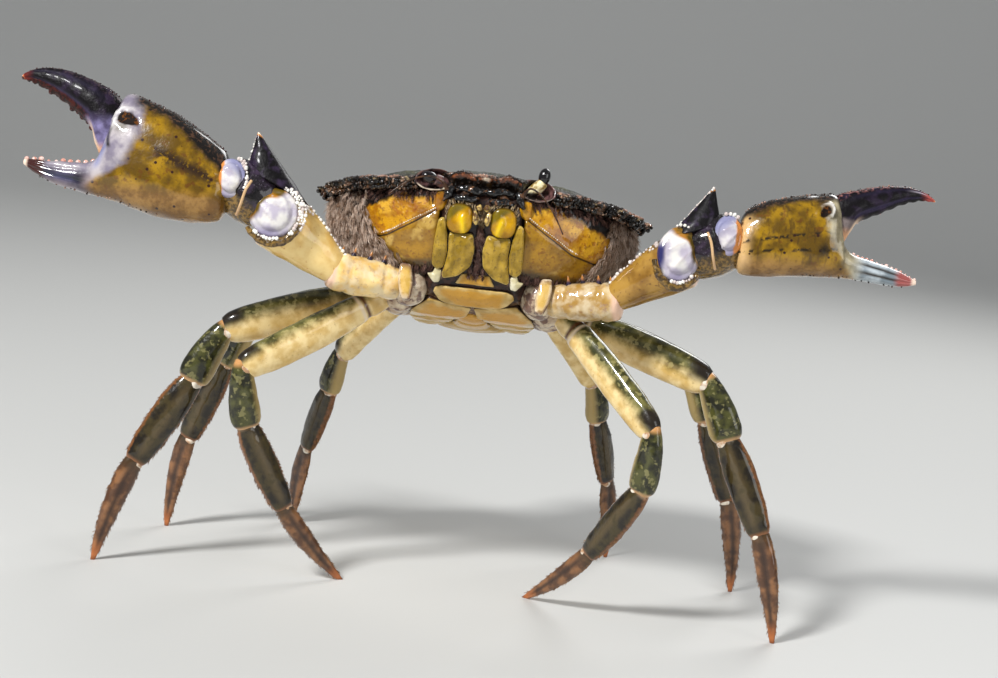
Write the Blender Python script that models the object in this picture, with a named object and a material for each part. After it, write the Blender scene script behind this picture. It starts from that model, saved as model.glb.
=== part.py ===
"""European green crab, an adult male, life size, standing with its claws spread wide.

The shell is many hard pieces that meet at narrow joints. Each piece is one object. The body, the claws
and the feelers are laid out in a body frame in millimetres: X to the crab's left, Y to the rear, Z up,
with the origin under the middle of the front edge of the carapace. The whole body is then tipped nose
up. The walking legs are laid out in the upright world, from the hips down to the floor.
"""

import math

import bmesh
import bpy
from mathutils import Matrix, Vector

MM = 0.001
GAP = 0.3  # clear space between two pieces that meet

# Stance
NOSE_UP = math.radians(14.5)
FRONT_HEIGHT = 104.0  # height of the body frame's origin over the floor
STAND_SHIFT = (2.9, -26.96)  # brings the middle of the box over the origin

# Carapace, seen from above
REAR_EDGE = 60.5
SIDE_CENTRE = (16.5, 25.5)  # centre of the arc on which the side teeth stand
SIDE_RADII = (25.6, 25.3)  # the tip of the last tooth is 42 mm from the middle
TOOTH_ANGLES = (84, 66, 48, 29, 6)
TOOTH_REACH = 3.4  # from the notches out to the tips
RIM_FRONT = 1.2  # height of the rim at the front
RIM_FALL = 0.07  # how much it sinks for each millimetre to the rear
RIM_DEPTH = 2.6  # thickness of the carapace at its rim
THORAX_TOP_DEPTH = RIM_DEPTH + GAP
DOME = 6.7  # rise of the back over the rim
DOME_CENTRE = (0.0, 29.0)

# Mouth: a sloping face under the front, with the two outer mouth plates on it
FACE_TOP = Vector((0, 0.3, -5.4))
FACE_FOOT = Vector((0, 7.2, -25.0))

SHELL_GREEN = ((0.060, 0.062, 0.020), 0.30)
SHELL_YELLOW = ((0.56, 0.36, 0.07), 0.35)
BELLY_CREAM = ((0.62, 0.48, 0.26), 0.38)
CLAW_YELLOW = ((0.42, 0.27, 0.05), 0.32)
LEG_OLIVE = ((0.16, 0.15, 0.05), 0.35)
FINGER_BLACK = ((0.03, 0.02, 0.02), 0.30)
EYE_BLACK = ((0.01, 0.01, 0.012), 0.10)
DARK_BROWN = ((0.05, 0.035, 0.02), 0.45)


def clear_scene():
    for obj in list(bpy.data.objects):
        bpy.data.objects.remove(obj, do_unlink=True)


def finish_of(colour, roughness):
    """One Principled material for a colour, made once and shared."""
    name = "shell_%02d_%02d_%02d" % tuple(round(99 * c) for c in colour)
    material = bpy.data.materials.get(name)
    if material is None:
        material = bpy.data.materials.new(name)
        material.use_nodes = True
        shader = material.node_tree.nodes["Principled BSDF"]
        shader.inputs["Base Color"].default_value = (*colour, 1)
        shader.inputs["Roughness"].default_value = roughness
    return material


def make(name, bm, finish, root):
    """An object in metres from a bmesh in millimetres, placed by its root, with its faces turned outwards."""
    bmesh.ops.recalc_face_normals(bm, faces=bm.faces)
    if bm.calc_volume(signed=True) < 0:
        bmesh.ops.reverse_faces(bm, faces=bm.faces)
    bmesh.ops.translate(bm, vec=-root, verts=bm.verts)
    bmesh.ops.scale(bm, vec=(MM, MM, MM), verts=bm.verts)
    mesh = bpy.data.meshes.new(name)
    bm.to_mesh(mesh)
    bm.free()
    mesh.materials.append(finish_of(*finish))
    obj = bpy.data.objects.new(name, mesh)
    obj.location = root * MM
    bpy.context.scene.collection.objects.link(obj)
    return obj


def loft(name, rings, finish=DARK_BROWN):
    """A closed body through rings of points that run the same way round."""
    bm = bmesh.new()
    rows = [[bm.verts.new(p) for p in ring] for ring in rings]
    count = len(rows[0])
    for low, high in zip(rows, rows[1:]):
        for i in range(count):
            j = (i + 1) % count
            bm.faces.new((low[i], low[j], high[j], high[i]))
    for row in (rows[0], rows[-1]):
        middle = bm.verts.new(sum((v.co for v in row), Vector()) / count)
        for i in range(count):
            bm.faces.new((row[i], row[(i + 1) % count], middle))
    root = sum(rings[0], Vector()) / count
    return make(name, bm, finish, root)


def oval(centre, up, side, count, square=1.0):
    """Points round an oval. square under 1 fills out its corners."""
    points = []
    for i in range(count):
        turn = math.tau * i / count
        c, s = math.cos(turn), math.sin(turn)
        points.append(centre + up * math.copysign(abs(c) ** square, c)
                      + side * math.copysign(abs(s) ** square, s))
    return points


def bend(start, control, end, t):
    """Point and direction on a curve from start to end that leans towards control."""
    point = start * (1 - t) ** 2 + control * 2 * t * (1 - t) + end * t * t
    along = (control - start) * (1 - t) + (end - control) * t
    return point, along.normalized()


def article(name, start, end, up, profile, finish, bow=0.0, sides=10, square=0.9):
    """One piece of a limb. Each row of the profile is a share of the length, a half height and a half width."""
    start, end = Vector(start), Vector(end)
    up = Vector(up)
    control = (start + end) / 2 + up.normalized() * 2 * bow
    rings = []
    for share, height, width in profile:
        centre, along = bend(start, control, end, share)
        side = along.cross(up).normalized()
        rings.append(oval(centre, side.cross(along) * height, side * width, sides, square))
    return loft(name, rings, finish)


def smooth_line(points, count):
    """Evenly shared points on a smooth line through the given ones."""
    points = [Vector(p) for p in points]
    line = []
    spans = len(points) - 1
    for i in range(count):
        place = spans * i / (count - 1)
        k = min(int(place), spans - 1)
        t = place - k
        a, b = points[max(k - 1, 0)], points[k]
        c, d = points[k + 1], points[min(k + 2, spans)]
        line.append(0.5 * (2 * b + (c - a) * t + (2 * a - 5 * b + 4 * c - d) * t * t
                           + (3 * b - a - 3 * c + d) * t ** 3))
    return line


def ball(name, centre, radii, finish=DARK_BROWN, sides=10, rows=6):
    centre = Vector(centre)
    rings = []
    for k in range(rows):
        lift = math.pi * (k + 0.5) / rows
        middle = centre + Vector((0, 0, -math.cos(lift) * radii[2]))
        rings.append(oval(middle, Vector((radii[0] * math.sin(lift), 0, 0)),
                          Vector((0, radii[1] * math.sin(lift), 0)), sides))
    return loft(name, rings, finish)


def blunt_tooth(root, tip, radius):
    """A tapered tooth from its sunk root to its blunt tip."""
    root, tip = Vector(root), Vector(tip)
    along = (tip - root).normalized()
    up = along.orthogonal().normalized() * radius
    side = along.cross(up)
    return loft("tooth", [oval(root, up, side, 5), oval(tip, up * 0.3, side * 0.3, 5)], FINGER_BLACK)


def swollen(obj, amount=GAP):
    """A copy that is larger all round by the amount, to cut a neighbour with."""
    copy = obj.copy()
    copy.data = obj.data.copy()
    bpy.context.scene.collection.objects.link(copy)
    bm = bmesh.new()
    bm.from_mesh(copy.data)
    bm.normal_update()
    moves = [v.normal * min(v.calc_shell_factor(), 1.6) * amount * MM for v in bm.verts]
    for vert, move in zip(bm.verts, moves):
        vert.co += move
    bm.to_mesh(copy.data)
    bm.free()
    return copy


def keep_largest(mesh):
    """Drops every closed surface of the mesh but the largest."""
    bm = bmesh.new()
    bm.from_mesh(mesh)
    left, shells = set(bm.faces), []
    while left:
        grown = {left.pop()}
        edge = list(grown)
        while edge:
            near = {f for e in edge.pop().edges for f in e.link_faces} & left
            left -= near
            grown |= near
            edge.extend(near)
        shells.append(grown)
    shells.sort(key=lambda faces: sum(f.calc_area() for f in faces))
    for shell in shells[:-1]:
        bmesh.ops.delete(bm, geom=list(shell), context="FACES")
    bmesh.ops.triangulate(bm, faces=bm.faces)
    bmesh.ops.dissolve_degenerate(bm, edges=bm.edges, dist=0.00001)
    bmesh.ops.delete(bm, geom=[e for e in bm.edges if not e.link_faces], context="EDGES")
    bmesh.ops.delete(bm, geom=[v for v in bm.verts if not v.link_edges], context="VERTS")
    bm.to_mesh(mesh)
    bm.free()


def combine(obj, others, operation):
    """Joins the others to the object or cuts them from it, and removes them."""
    group = bpy.data.collections.new("pieces")
    for other in others:
        group.objects.link(other)
    step = obj.modifiers.new("combine", "BOOLEAN")
    step.operand_type = "COLLECTION"
    step.collection = group
    step.operation = operation
    for solver in ("EXACT", "MANIFOLD"):
        step.solver = solver
        graph = bpy.context.evaluated_depsgraph_get()
        result = bpy.data.meshes.new_from_object(obj.evaluated_get(graph))
        if result.polygons:
            break
    obj.modifiers.clear()
    obj.data = result
    keep_largest(result)
    for other in others:
        bpy.data.objects.remove(other, do_unlink=True)
    bpy.data.collections.remove(group)


def fuse(obj, others):
    combine(obj, others, "UNION")


def make_room(obj, *neighbours):
    """Cuts the object back from its neighbours, so that they meet with the usual gap."""
    combine(obj, [swollen(n) for n in neighbours], "DIFFERENCE")


def rim_height(y):
    return RIM_FRONT - RIM_FALL * y


def side_arc(angle, reach):
    """A point near the front side of the carapace, reach millimetres out from the line of the notches."""
    a = math.radians(angle)
    rx = SIDE_RADII[0] - TOOTH_REACH + reach
    ry = SIDE_RADII[1] - TOOTH_REACH + reach
    return (SIDE_CENTRE[0] + rx * math.cos(a), SIDE_CENTRE[1] - ry * math.sin(a))


def half_outline():
    """Left half of the carapace from above, front to rear, as pairs of a toothed and a smooth point."""
    front = [((0, -1.3), (0, 2.0)), ((1.9, -1.0), (2, 2.1)), ((3.1, 0.3), (3.2, 2.2)),
             ((5.2, -0.7), (5.2, 2.4)), ((7.4, -0.3), (7.4, 2.8)), ((8.9, 1.4), (8.9, 3.4)),
             ((11.2, 4.4), (11.2, 5.4)), ((14.2, 4.6), (14.2, 6.0)), ((16.4, 2.6), (16.6, 5.4))]
    teeth = []
    for here, after in zip(TOOTH_ANGLES, TOOTH_ANGLES[1:] + (-12,)):
        step = here - after
        teeth.append((side_arc(here, TOOTH_REACH), side_arc(here, -1.4)))
        teeth.append((side_arc(here - 0.36 * step, 1.9), side_arc(here - 0.36 * step, -1.2)))
        teeth.append((side_arc(here - 0.80 * step, 0.0), side_arc(here - 0.80 * step, -1.2)))
    rear = [(p, p) for p in ((37.0, 31.5), (33.2, 40.5), (27.6, 49.2), (21.6, 56.4),
                             (18.4, 59.4), (11.0, 60.3), (0, REAR_EDGE))]
    return front + teeth + rear


def full_outline():
    half = half_outline()
    other = [((-a[0], a[1]), (-b[0], b[1])) for a, b in reversed(half[1:-1])]
    return half + other


def back_relief(x, y):
    """Swellings and furrows of the back: gut, heart and gill regions."""
    def lobe(cx, cy, rx, ry, rise):
        return rise * math.exp(-((abs(x) - cx) / rx) ** 2 - ((y - cy) / ry) ** 2)
    return (lobe(0, 24, 9, 10, 0.9) + lobe(0, 45, 7, 6, 0.8) + lobe(21, 34, 9, 12, 0.9)
            + lobe(19, 14, 6, 5, 0.6) - lobe(12, 33, 3, 8, 0.9) - lobe(0, 36, 6, 2, 0.6))


def build_carapace():
    rings = []
    for share, sharp in ((0.0, 1.0), (0.09, 0.35), (0.24, 0.0), (0.45, 0.0), (0.68, 0.0), (0.88, 0.0)):
        ring = []
        for toothed, smooth in full_outline():
            x = smooth[0] + (toothed[0] - smooth[0]) * sharp
            y = smooth[1] + (toothed[1] - smooth[1]) * sharp
            if share > 0:
                x += (DOME_CENTRE[0] - x) * share
                y += (DOME_CENTRE[1] - y) * share
            rise = DOME * (1 - (1 - share) ** 2.1)
            relief = back_relief(x, y) * min(1.0, 4 * share)
            ring.append(Vector((x, y, rim_height(y) + rise + relief)))
        rings.append(ring)
    under = []
    for inset, drop in ((0.25, 1.0), (0.9, RIM_DEPTH)):
        ring = []
        for toothed, smooth in full_outline():
            x = toothed[0] + (smooth[0] - toothed[0]) * inset
            y = toothed[1] + (smooth[1] - toothed[1]) * inset
            ring.append(Vector((x, y, rim_height(y) - drop)))
        under.append(ring)
    return loft("carapace", under[::-1] + rings, SHELL_GREEN)


# The flanks: curved plates between the rim and the roots of the legs
FLANK_RIM = ((10.2, 2.6), (19, 4.4), (28.0, 9.2), (35.4, 17.5), (37.6, 26), (34.8, 35), (28, 46), (19, 55))
FLANK_FOOT = ((10.2, 6.6, -21), (18, 9.8, -21.2), (26, 15, -20.5), (30.8, 22, -19), (31.8, 30, -17),
              (29, 40, -15), (23, 49, -13.5), (15, 56, -12))
FLANK_ROOT = ((10.2, 9.5), (15.5, 14), (20, 20), (22, 27), (22, 34), (20, 42), (16, 48.5), (11.5, 53))
FLANK_STATIONS = 12
FLANK_BULGE = 2.4


def build_flank(side, name):
    rim = smooth_line([(x, y, 0) for x, y in FLANK_RIM], FLANK_STATIONS)
    foot = smooth_line(FLANK_FOOT, FLANK_STATIONS)
    root = smooth_line([(x, y, 0) for x, y in FLANK_ROOT], FLANK_STATIONS)
    rings = []
    for edge, low, inner in zip(rim, foot, root):
        edge = Vector((edge.x, edge.y, rim_height(edge.y) - THORAX_TOP_DEPTH))
        inner = Vector((inner.x, inner.y, rim_height(inner.y) - THORAX_TOP_DEPTH))
        out = (edge - inner).normalized()
        ring = [edge]
        for share in (0.3, 0.65, 0.9):
            bulge = FLANK_BULGE * math.sin(math.pi * share) ** 0.8
            ring.append(edge.lerp(low, share) + out * bulge + Vector((0, 0, -bulge * 0.5)))
        ring += [low, low.lerp(inner, 0.25) + Vector((0, 0, -0.6)), inner]
        rings.append([Vector((side * p.x, p.y, p.z)) for p in ring])
    return loft(name, rings, SHELL_YELLOW)


# The thorax: the core of the body, with the breastplate under it and the sockets of the legs
# Each row: height, front, rear, half width, half width at the front
THORAX_LEVELS = ((-5.4, 0.6, 52, 20, 9.6), (-12, 2.7, 54, 21, 9.6), (-19, 5.2, 55, 20.5, 9.8),
                 (-24.5, 7.6, 54, 20, 11.0), (-27.6, 12.0, 51, 18, 10.0), (-29.6, 18.5, 46, 12, 6.0))
HIPS = {2: Vector((21.5, 20.5, -26.2)), 3: Vector((22.5, 29.5, -26.0)),
        4: Vector((21.0, 38.5, -24.8)), 5: Vector((17.0, 46.5, -22.6))}
CLAW_HIP = Vector((19.0, 11.8, -25.0))
BREAST_ROOT = 2.2  # how deep a breast plate is sunk in
BREAST_RISE = 0.7  # how far it stands out
# Outlines of the breast plates from above: left halves of the two in the middle, then those of the pairs
BREAST_MIDDLE = (((3.4, 6.2), (4.8, 7.2)), ((8.8, 7.7), (9.7, 9.3), (5.6, 12.9)))
BREAST_PAIRS = (((0.3, 14.0), (10.4, 11.6), (14.6, 18.5), (15.8, 26.4), (4.2, 26.4), (1.4, 19.0)),
                ((4.4, 27.0), (15.8, 27.0), (15.2, 34.2), (5.6, 34.2)),
                ((6.2, 34.8), (15.0, 34.8), (13.8, 41.2), (9.4, 41.4)))


def thorax_ring(height, front, rear, half, front_half):
    """A level of the core: a blunt front, wide at the legs, narrow at the rear."""
    middle = front + (rear - front) * 0.45
    side = [(0, front), (front_half * 0.6, front + 0.1), (front_half, front + 1.2),
            ((front_half + half) / 2, front + (middle - front) * 0.42), (half, middle - 4),
            (half, middle + 5), (half * 0.80, rear - 7), (half * 0.52, rear - 1.5), (0, rear)]
    points = side + [(-x, y) for x, y in reversed(side[1:-1])]
    return [Vector((x, y, height if height is not None else rim_height(y) - THORAX_TOP_DEPTH))
            for x, y in points]


def belly_point(x, y, out):
    """A point out from the curved underside of the thorax."""
    line = [(front, height) for height, front, _, _, _ in THORAX_LEVELS] + [(60, THORAX_LEVELS[-1][0])]
    k = max(i for i in range(len(line) - 1) if line[i][0] <= y)
    run, fall = line[k + 1][0] - line[k][0], line[k + 1][1] - line[k][1]
    height = line[k][1] + fall * (y - line[k][0]) / run
    outward = Vector((0, fall, -run)).normalized()
    return Vector((x, y, height)) + outward * out


def breast_plate(outline):
    """A raised plate of the breast, its root sunk in the thorax."""
    middle = [sum(c) / len(outline) for c in zip(*outline)]
    rings = []
    for inset, out in ((0, -BREAST_ROOT), (0, BREAST_RISE * 0.5), (0.14, BREAST_RISE), (0.6, BREAST_RISE)):
        rings.append([belly_point(x + (middle[0] - x) * inset, y + (middle[1] - y) * inset, out)
                      for x, y in outline])
    return loft("plate", rings, BELLY_CREAM)


def build_thorax():
    rings = [thorax_ring(None, 1.4, 55.5, 19, 9.4)]
    rings += [thorax_ring(*level) for level in THORAX_LEVELS]
    thorax = loft("thorax", rings, BELLY_CREAM)
    extras = [breast_plate(half + tuple((-x, y) for x, y in reversed(half))) for half in BREAST_MIDDLE]
    for side in (1, -1):
        extras += [breast_plate([(side * x, y) for x, y in outline]) for outline in BREAST_PAIRS]
        for number, hip in HIPS.items():
            size = 4.9 if number < 5 else 4.2
            centre = (side * (hip.x - 3.4), hip.y, hip.z + 0.4)
            extras.append(ball("socket", centre, (size, size * 0.92, size * 0.98), BELLY_CREAM, 8, 5))
        centre = (side * (CLAW_HIP.x - 3.2), CLAW_HIP.y + 0.8, CLAW_HIP.z + 0.1)
        extras.append(ball("socket", centre, (4.6, 4.8, 5.0), BELLY_CREAM, 8, 5))
    fuse(thorax, extras)
    return thorax


# The tail, folded flat under the body. Each row: rear position, height, half width
TAIL_ROWS = ((18.6, -29.1, 0.9), (20.4, -29.9, 2.6), (25.0, -30.5, 3.6), (32.0, -30.9, 4.6),
             (40.0, -30.6, 8.0), (46.5, -29.0, 10.6), (52.0, -24.6, 9.8), (56.0, -17.5, 9.0),
             (57.6, -11.0, 8.4), (57.8, -7.2, 8.0))
TAIL_THICKNESS = 1.7


def build_tail():
    spine = [Vector((0, y, z)) for y, z, _ in TAIL_ROWS]
    rings = []
    for k, (_, _, half) in enumerate(TAIL_ROWS):
        along = (spine[min(k + 1, len(spine) - 1)] - spine[max(k - 1, 0)]).normalized()
        outward = Vector((1, 0, 0)).cross(along).normalized()
        thin = min(TAIL_THICKNESS, 0.9 + 0.5 * half)
        ring = []
        for across, rise in ((-1, 0.15), (-0.86, 0.62), (0, 1.0), (0.86, 0.62), (1, 0.15), (0.9, -0.25), (-0.9, -0.25)):
            ring.append(spine[k] + Vector((half * across, 0, 0)) - outward * (rise - 0.5) * thin)
        rings.append(ring)
    return loft("tail", rings, BELLY_CREAM)


def face_point(across, down, out):
    """A point on the sloping face of the mouth: across it, down it, and out from it."""
    slope = (FACE_FOOT - FACE_TOP).normalized()
    outward = Vector((0, slope.z, -slope.y))
    return FACE_TOP + Vector((across, 0, 0)) + slope * down + outward * out


def mouth_plate(outline, thickness, side):
    """A plate with a rounded edge and a crowned middle, standing on the face of the mouth."""
    middle = [sum(c) / len(outline) for c in zip(*outline)]
    rings = []
    for inset, out in ((0.0, GAP), (0.0, thickness * 0.6), (0.16, thickness * 0.93), (0.6, thickness * 1.08)):
        ring = []
        for across, down in outline:
            a = across + (middle[0] - across) * inset
            d = down + (middle[1] - down) * inset
            ring.append(face_point(side * a, d, out))
        rings.append(ring)
    return loft("plate", rings, SHELL_YELLOW)


def build_mouthpart(side, name):
    """The outer mouth leg: a long plate, a round plate over it and a slim rod along its outside."""
    long_plate = ((1.9, 6.5), (4.6, 6.9), (7.3, 6.8), (6.8, 12.0), (8.1, 18.0), (4.4, 17.3), (1.5, 14.6), (1.0, 10.6))
    round_plate = [(5.3 + 3.05 * math.cos(a), 3.6 + 3.6 * math.sin(a))
                   for a in (math.tau * i / 12 for i in range(12))]
    rod = ((8.1, 4.6), (8.9, 3.4), (9.7, 4.6), (9.9, 9.5), (9.8, 14.6), (9.0, 15.5), (8.2, 14.6), (7.5, 9.5))
    foot = ((8.0, 16.6), (9.8, 15.8), (10.4, 17.4), (11.8, 17.6), (10.0, 19.8), (8.6, 19.6))
    part = mouth_plate(long_plate, 2.3, side)
    part.name = name
    fuse(part, [mouth_plate(round_plate, 2.9, side), mouth_plate(rod, 1.9, side), mouth_plate(foot, 1.5, side)])
    return part


# Eyes: the crab's left eye stands up, its right eye lies in its socket
EYES = {1: (Vector((9.4, 4.2, -1.6)), Vector((13.6, 2.2, 2.0)), Vector((0.12, -0.1, 1.0))),
        -1: (Vector((-8.6, 4.0, -1.0)), Vector((-12.2, 1.9, -0.1)), Vector((-0.9, -0.35, 0.15)))}
EYE_RADIUS = 1.45
EYE_LENGTH = 2.1


def build_eye(side, stalk_name, eye_name):
    root, top, aim = EYES[side]
    aim = aim.normalized()
    control = root.lerp(top, 0.6) - aim * 0.5
    across = aim.orthogonal().normalized()
    rings = []
    for share, radius in ((0, 1.2), (0.3, 1.35), (0.7, 1.5), (1.0, 1.35)):
        centre, along = bend(root, control, top, share)
        up = along.orthogonal().normalized()
        rings.append(oval(centre, up * radius, along.cross(up) * radius, 10))
    stalk = loft(stalk_name, rings, SHELL_YELLOW)
    centre = top + aim * (EYE_LENGTH * 0.72)
    rings = []
    for k in range(6):
        lift = math.pi * (k + 0.5) / 6
        middle = centre - aim * math.cos(lift) * EYE_LENGTH
        wide = EYE_RADIUS * math.sin(lift)
        rings.append(oval(middle, across * wide, aim.cross(across) * wide, 10))
    eye = loft(eye_name, rings, EYE_BLACK)
    make_room(stalk, eye)
    return stalk, eye


# Feelers: the crab's left one droops over its cheek, the right one lies along the socket
FEELERS = {1: ((8.6, 0.6, -3.2), (10.6, -1.9, -0.6), (13.6, -2.6, -2.2), (17.0, -1.6, -6.0), (19.6, -0.6, -10.4)),
           -1: ((-8.6, 0.6, -3.2), (-10.4, -2.2, -1.2), (-13.8, -3.6, -0.6), (-18.2, -4.4, -2.4), (-22.5, -4.2, -6.0))}


def build_feeler(side, name):
    line = smooth_line(FEELERS[side], 11)
    rings = []
    for k, point in enumerate(line):
        along = (line[min(k + 1, 10)] - line[max(k - 1, 0)]).normalized()
        up = along.orthogonal().normalized()
        radius = 1.15 - 0.55 * min(1.0, k / 3) - 0.36 * (k / 10)
        rings.append(oval(point, up * radius, along.cross(up) * radius, 6))
    return loft(name, rings, DARK_BROWN)


def build_small_feeler(side, name):
    """The short first feeler, folded in its pit beside the middle of the front."""
    return article(name, (side * 3.2, 0.9, -3.0), (side * 5.9, -0.5, -4.0), (0, 0, 1),
                   ((0, 0.55, 0.5), (0.3, 0.85, 0.8), (0.8, 0.6, 0.6), (1, 0.35, 0.35)), DARK_BROWN, 0.4, 6)


# Claws. The crusher is the crab's right claw (side -1), the cutter its left one.
# Joints in the body frame, given for the left side
CLAW_KNEE = Vector((34.5, 6.8, -24.2))
CLAW_ELBOW = Vector((49.5, 0.6, -14.2))
CLAW_WRIST = Vector((60.2, -2.4, -8.6))
ARM_UP = Vector((-0.25, 0.1, 1.0))
SPINE_FOOT = Vector((50.0, -2.6, -7.4))  # middle of the long base of the spine over the wrist
SPINE_LENGTHWISE = Vector((12.2, -2.6, 4.6)).normalized() * 6.8
SPINE_ACROSS = Vector((0.9, 4.2, 0))
# Pieces of the arm: share of the length, half height, half width
BASE = ((0, 3.0, 2.9), (0.12, 4.0, 3.9), (0.45, 4.6, 4.5), (0.85, 4.7, 4.6), (1, 4.1, 4.0))
ARM = ((0, 3.0, 2.9), (0.1, 4.4, 4.2), (0.4, 6.2, 5.4), (0.75, 7.9, 6.4), (0.94, 8.2, 6.6), (1, 7.4, 5.8))
FORE = ((0, 3.4, 3.2), (0.14, 5.2, 5.0), (0.4, 7.0, 6.8), (0.68, 7.2, 7.0), (0.9, 6.4, 6.0), (1, 5.2, 5.0))
WRIST_LIFT = Vector((0, 0, 1.2))
# Hand rows: distance out from the body's middle, upper edge, lower edge, half thickness. The arm has a lift
# and a share of its height. The domes of joint skin have a centre and three radii.
HANDS = {
    -1: {"palm": ((60.4, -4.2, -13.4, 3.4), (61.8, -0.6, -16.8, 5.2), (66.0, 2.6, -17.8, 6.6),
                  (73.0, 6.6, -18.0, 7.4), (80.0, 9.3, -16.9, 7.3), (85.6, 10.8, -15.3, 6.8),
                  (89.4, 9.0, -14.4, 5.9), (91.4, 4.6, -13.8, 4.6)),
         "finger": ((84.0, -4.2, -14.6, 4.6), (91.5, -5.6, -14.3, 4.2), (97.0, -6.9, -13.4, 3.5),
                    (102.0, -7.2, -12.3, 2.8), (106.4, -7.2, -10.6, 1.8), (109.3, -7.5, -8.7, 0.6)),
         "thumb": ((86.6, 6.2, -0.6, 3.0), (88.4, 9.4, -2.4, 4.2), (94.4, 12.8, 2.0, 4.3),
                   (99.6, 14.4, 6.2, 3.6), (104.6, 15.1, 9.3, 2.7), (109.0, 14.6, 11.2, 1.7), (112.4, 12.9, 11.8, 0.5)),
         "teeth": 7, "tooth": 0.95, "spine": Vector((54.7, -5.0, 4.9)), "arm": (0.3, 0.93),
         "elbow_dome": (Vector((48.8, -4.6, -13.9)), (5.9, 3.4, 6.1)),
         "wrist_dome": (Vector((59.6, -6.8, -7.2)), (3.8, 2.8, 4.8))},
    1: {"palm": ((60.6, -4.0, -12.0, 3.2), (62.0, -0.6, -15.2, 4.8), (66.5, 2.4, -15.6, 5.8),
                 (73.0, 4.4, -14.8, 6.3), (79.5, 5.7, -14.2, 6.1), (83.4, 5.8, -13.8, 5.6),
                 (86.2, 1.8, -13.6, 4.4)),
        "finger": ((80.0, -6.0, -13.8, 3.8), (87.0, -7.6, -13.7, 3.2), (92.6, -8.8, -13.8, 2.6),
                   (97.6, -10.0, -14.2, 2.0), (101.2, -11.2, -14.0, 1.3), (103.8, -12.3, -13.3, 0.45)),
        "thumb": ((81.0, 3.6, -2.4, 2.6), (82.8, 5.8, -3.9, 3.6), (88.4, 7.9, 0.0, 3.4),
                  (93.6, 9.3, 2.8, 2.8), (99.0, 9.9, 5.7, 2.1), (103.2, 9.2, 7.1, 1.3), (106.6, 7.6, 6.6, 0.45)),
        "teeth": 8, "tooth": 0.65, "spine": Vector((53.9, -5.0, 4.0)), "arm": (1.3, 0.84),
        "elbow_dome": (Vector((47.2, -4.6, -12.8)), (5.1, 3.4, 6.7)),
        "wrist_dome": (Vector((58.0, -6.8, -7.4)), (3.5, 2.8, 5.0))}}
HAND_DEPTH = -3.2


def hand_piece(name, rows, side, finish, sides=12):
    rings = []
    for out, top, bottom, half in rows:
        centre = Vector((side * out, HAND_DEPTH, (top + bottom) / 2))
        rings.append(oval(centre, Vector((0, 0, (top - bottom) / 2)), Vector((0, half, 0)), sides, 0.86))
    return loft(name, rings, finish)


def biting_teeth(rows, side, upper, number, size):
    """Blunt teeth along the biting edge of a finger."""
    edge = 2 if upper else 1
    sign = -1 if upper else 1
    first, last = (1.95 if upper else 1.3), len(rows) - 1.55
    teeth = []
    for k in range(number):
        place = first + (last - first) * k / (number - 1)
        i = int(place)
        t = place - i
        row = [a + (b - a) * t for a, b in zip(rows[i], rows[i + 1])]
        grow = size * (1.25 - 0.6 * k / (number - 1)) * (1.12 if k % 2 else 0.9)
        root = (side * row[0], HAND_DEPTH, row[edge] - sign * grow * 0.9)
        tip = (side * (row[0] - 0.25), HAND_DEPTH, row[edge] + sign * grow * 0.85)
        teeth.append(blunt_tooth(root, tip, grow))
    return teeth


def build_claw(side, word):
    rows = HANDS[side]
    flip = Vector((side, 1, 1))
    knee, elbow, wrist, hip = (p * flip for p in (CLAW_KNEE, CLAW_ELBOW, CLAW_WRIST, CLAW_HIP))
    up = ARM_UP * flip
    lift, slim = rows["arm"]
    lift = Vector((0, 0, lift))
    base = article("claw_base_" + word, hip - (knee - hip) * 0.10, knee + (knee - hip) * 0.02, up, BASE,
                   BELLY_CREAM, 0.0, 12)
    upper = article("claw_arm_" + word, knee - (elbow - knee) * 0.10 + lift, elbow + (elbow - knee) * 0.02 + lift, up,
                    [(share, height * slim, width) for share, height, width in ARM], BELLY_CREAM, 0.6, 12)
    fore = article("claw_wrist_" + word, elbow - (wrist - elbow) * 0.22 + WRIST_LIFT,
                   wrist + (wrist - elbow) * 0.10 + WRIST_LIFT, up, FORE, SHELL_GREEN, 0.6, 12)
    spine = []
    for share, width in ((0, 1.0), (0.5, 0.54), (0.85, 0.19), (1, 0.06)):
        middle = (SPINE_FOOT * flip).lerp(rows["spine"] * flip, share)
        spine.append(oval(middle, SPINE_LENGTHWISE * flip * width, SPINE_ACROSS * flip * width, 10))
    spine = loft("spine", spine, SHELL_GREEN)
    elbow_dome = ball("dome", rows["elbow_dome"][0] * flip, rows["elbow_dome"][1], BELLY_CREAM)
    palm = hand_piece("claw_palm_" + word, rows["palm"], side, CLAW_YELLOW)
    wrist_dome = ball("dome", rows["wrist_dome"][0] * flip, rows["wrist_dome"][1], BELLY_CREAM)
    thumb = hand_piece("claw_finger_" + word, rows["thumb"], side, FINGER_BLACK, 10)
    make_room(base, upper)
    make_room(upper, fore, spine, elbow_dome)
    fuse(fore, [spine, elbow_dome])
    make_room(fore, palm, wrist_dome)
    fuse(palm, [hand_piece("fixed", rows["finger"], side, CLAW_YELLOW, 10), wrist_dome])
    make_room(palm, thumb)
    fuse(palm, biting_teeth(rows["finger"], side, False, rows["teeth"], rows["tooth"]))
    fuse(thumb, biting_teeth(rows["thumb"], side, True, rows["teeth"], rows["tooth"]))
    return {"base": base, "upper": upper, "fore": fore, "palm": palm, "thumb": thumb}


def raise_body(objects):
    """Turns the body's pieces nose up and lifts them to the height at which the legs carry them."""
    body = bpy.data.objects.new("body_frame", None)
    body.location = Vector((*STAND_SHIFT, FRONT_HEIGHT)) * MM
    body.rotation_euler.x = -NOSE_UP
    bpy.context.scene.collection.objects.link(body)
    for obj in objects:
        obj.parent = body


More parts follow.
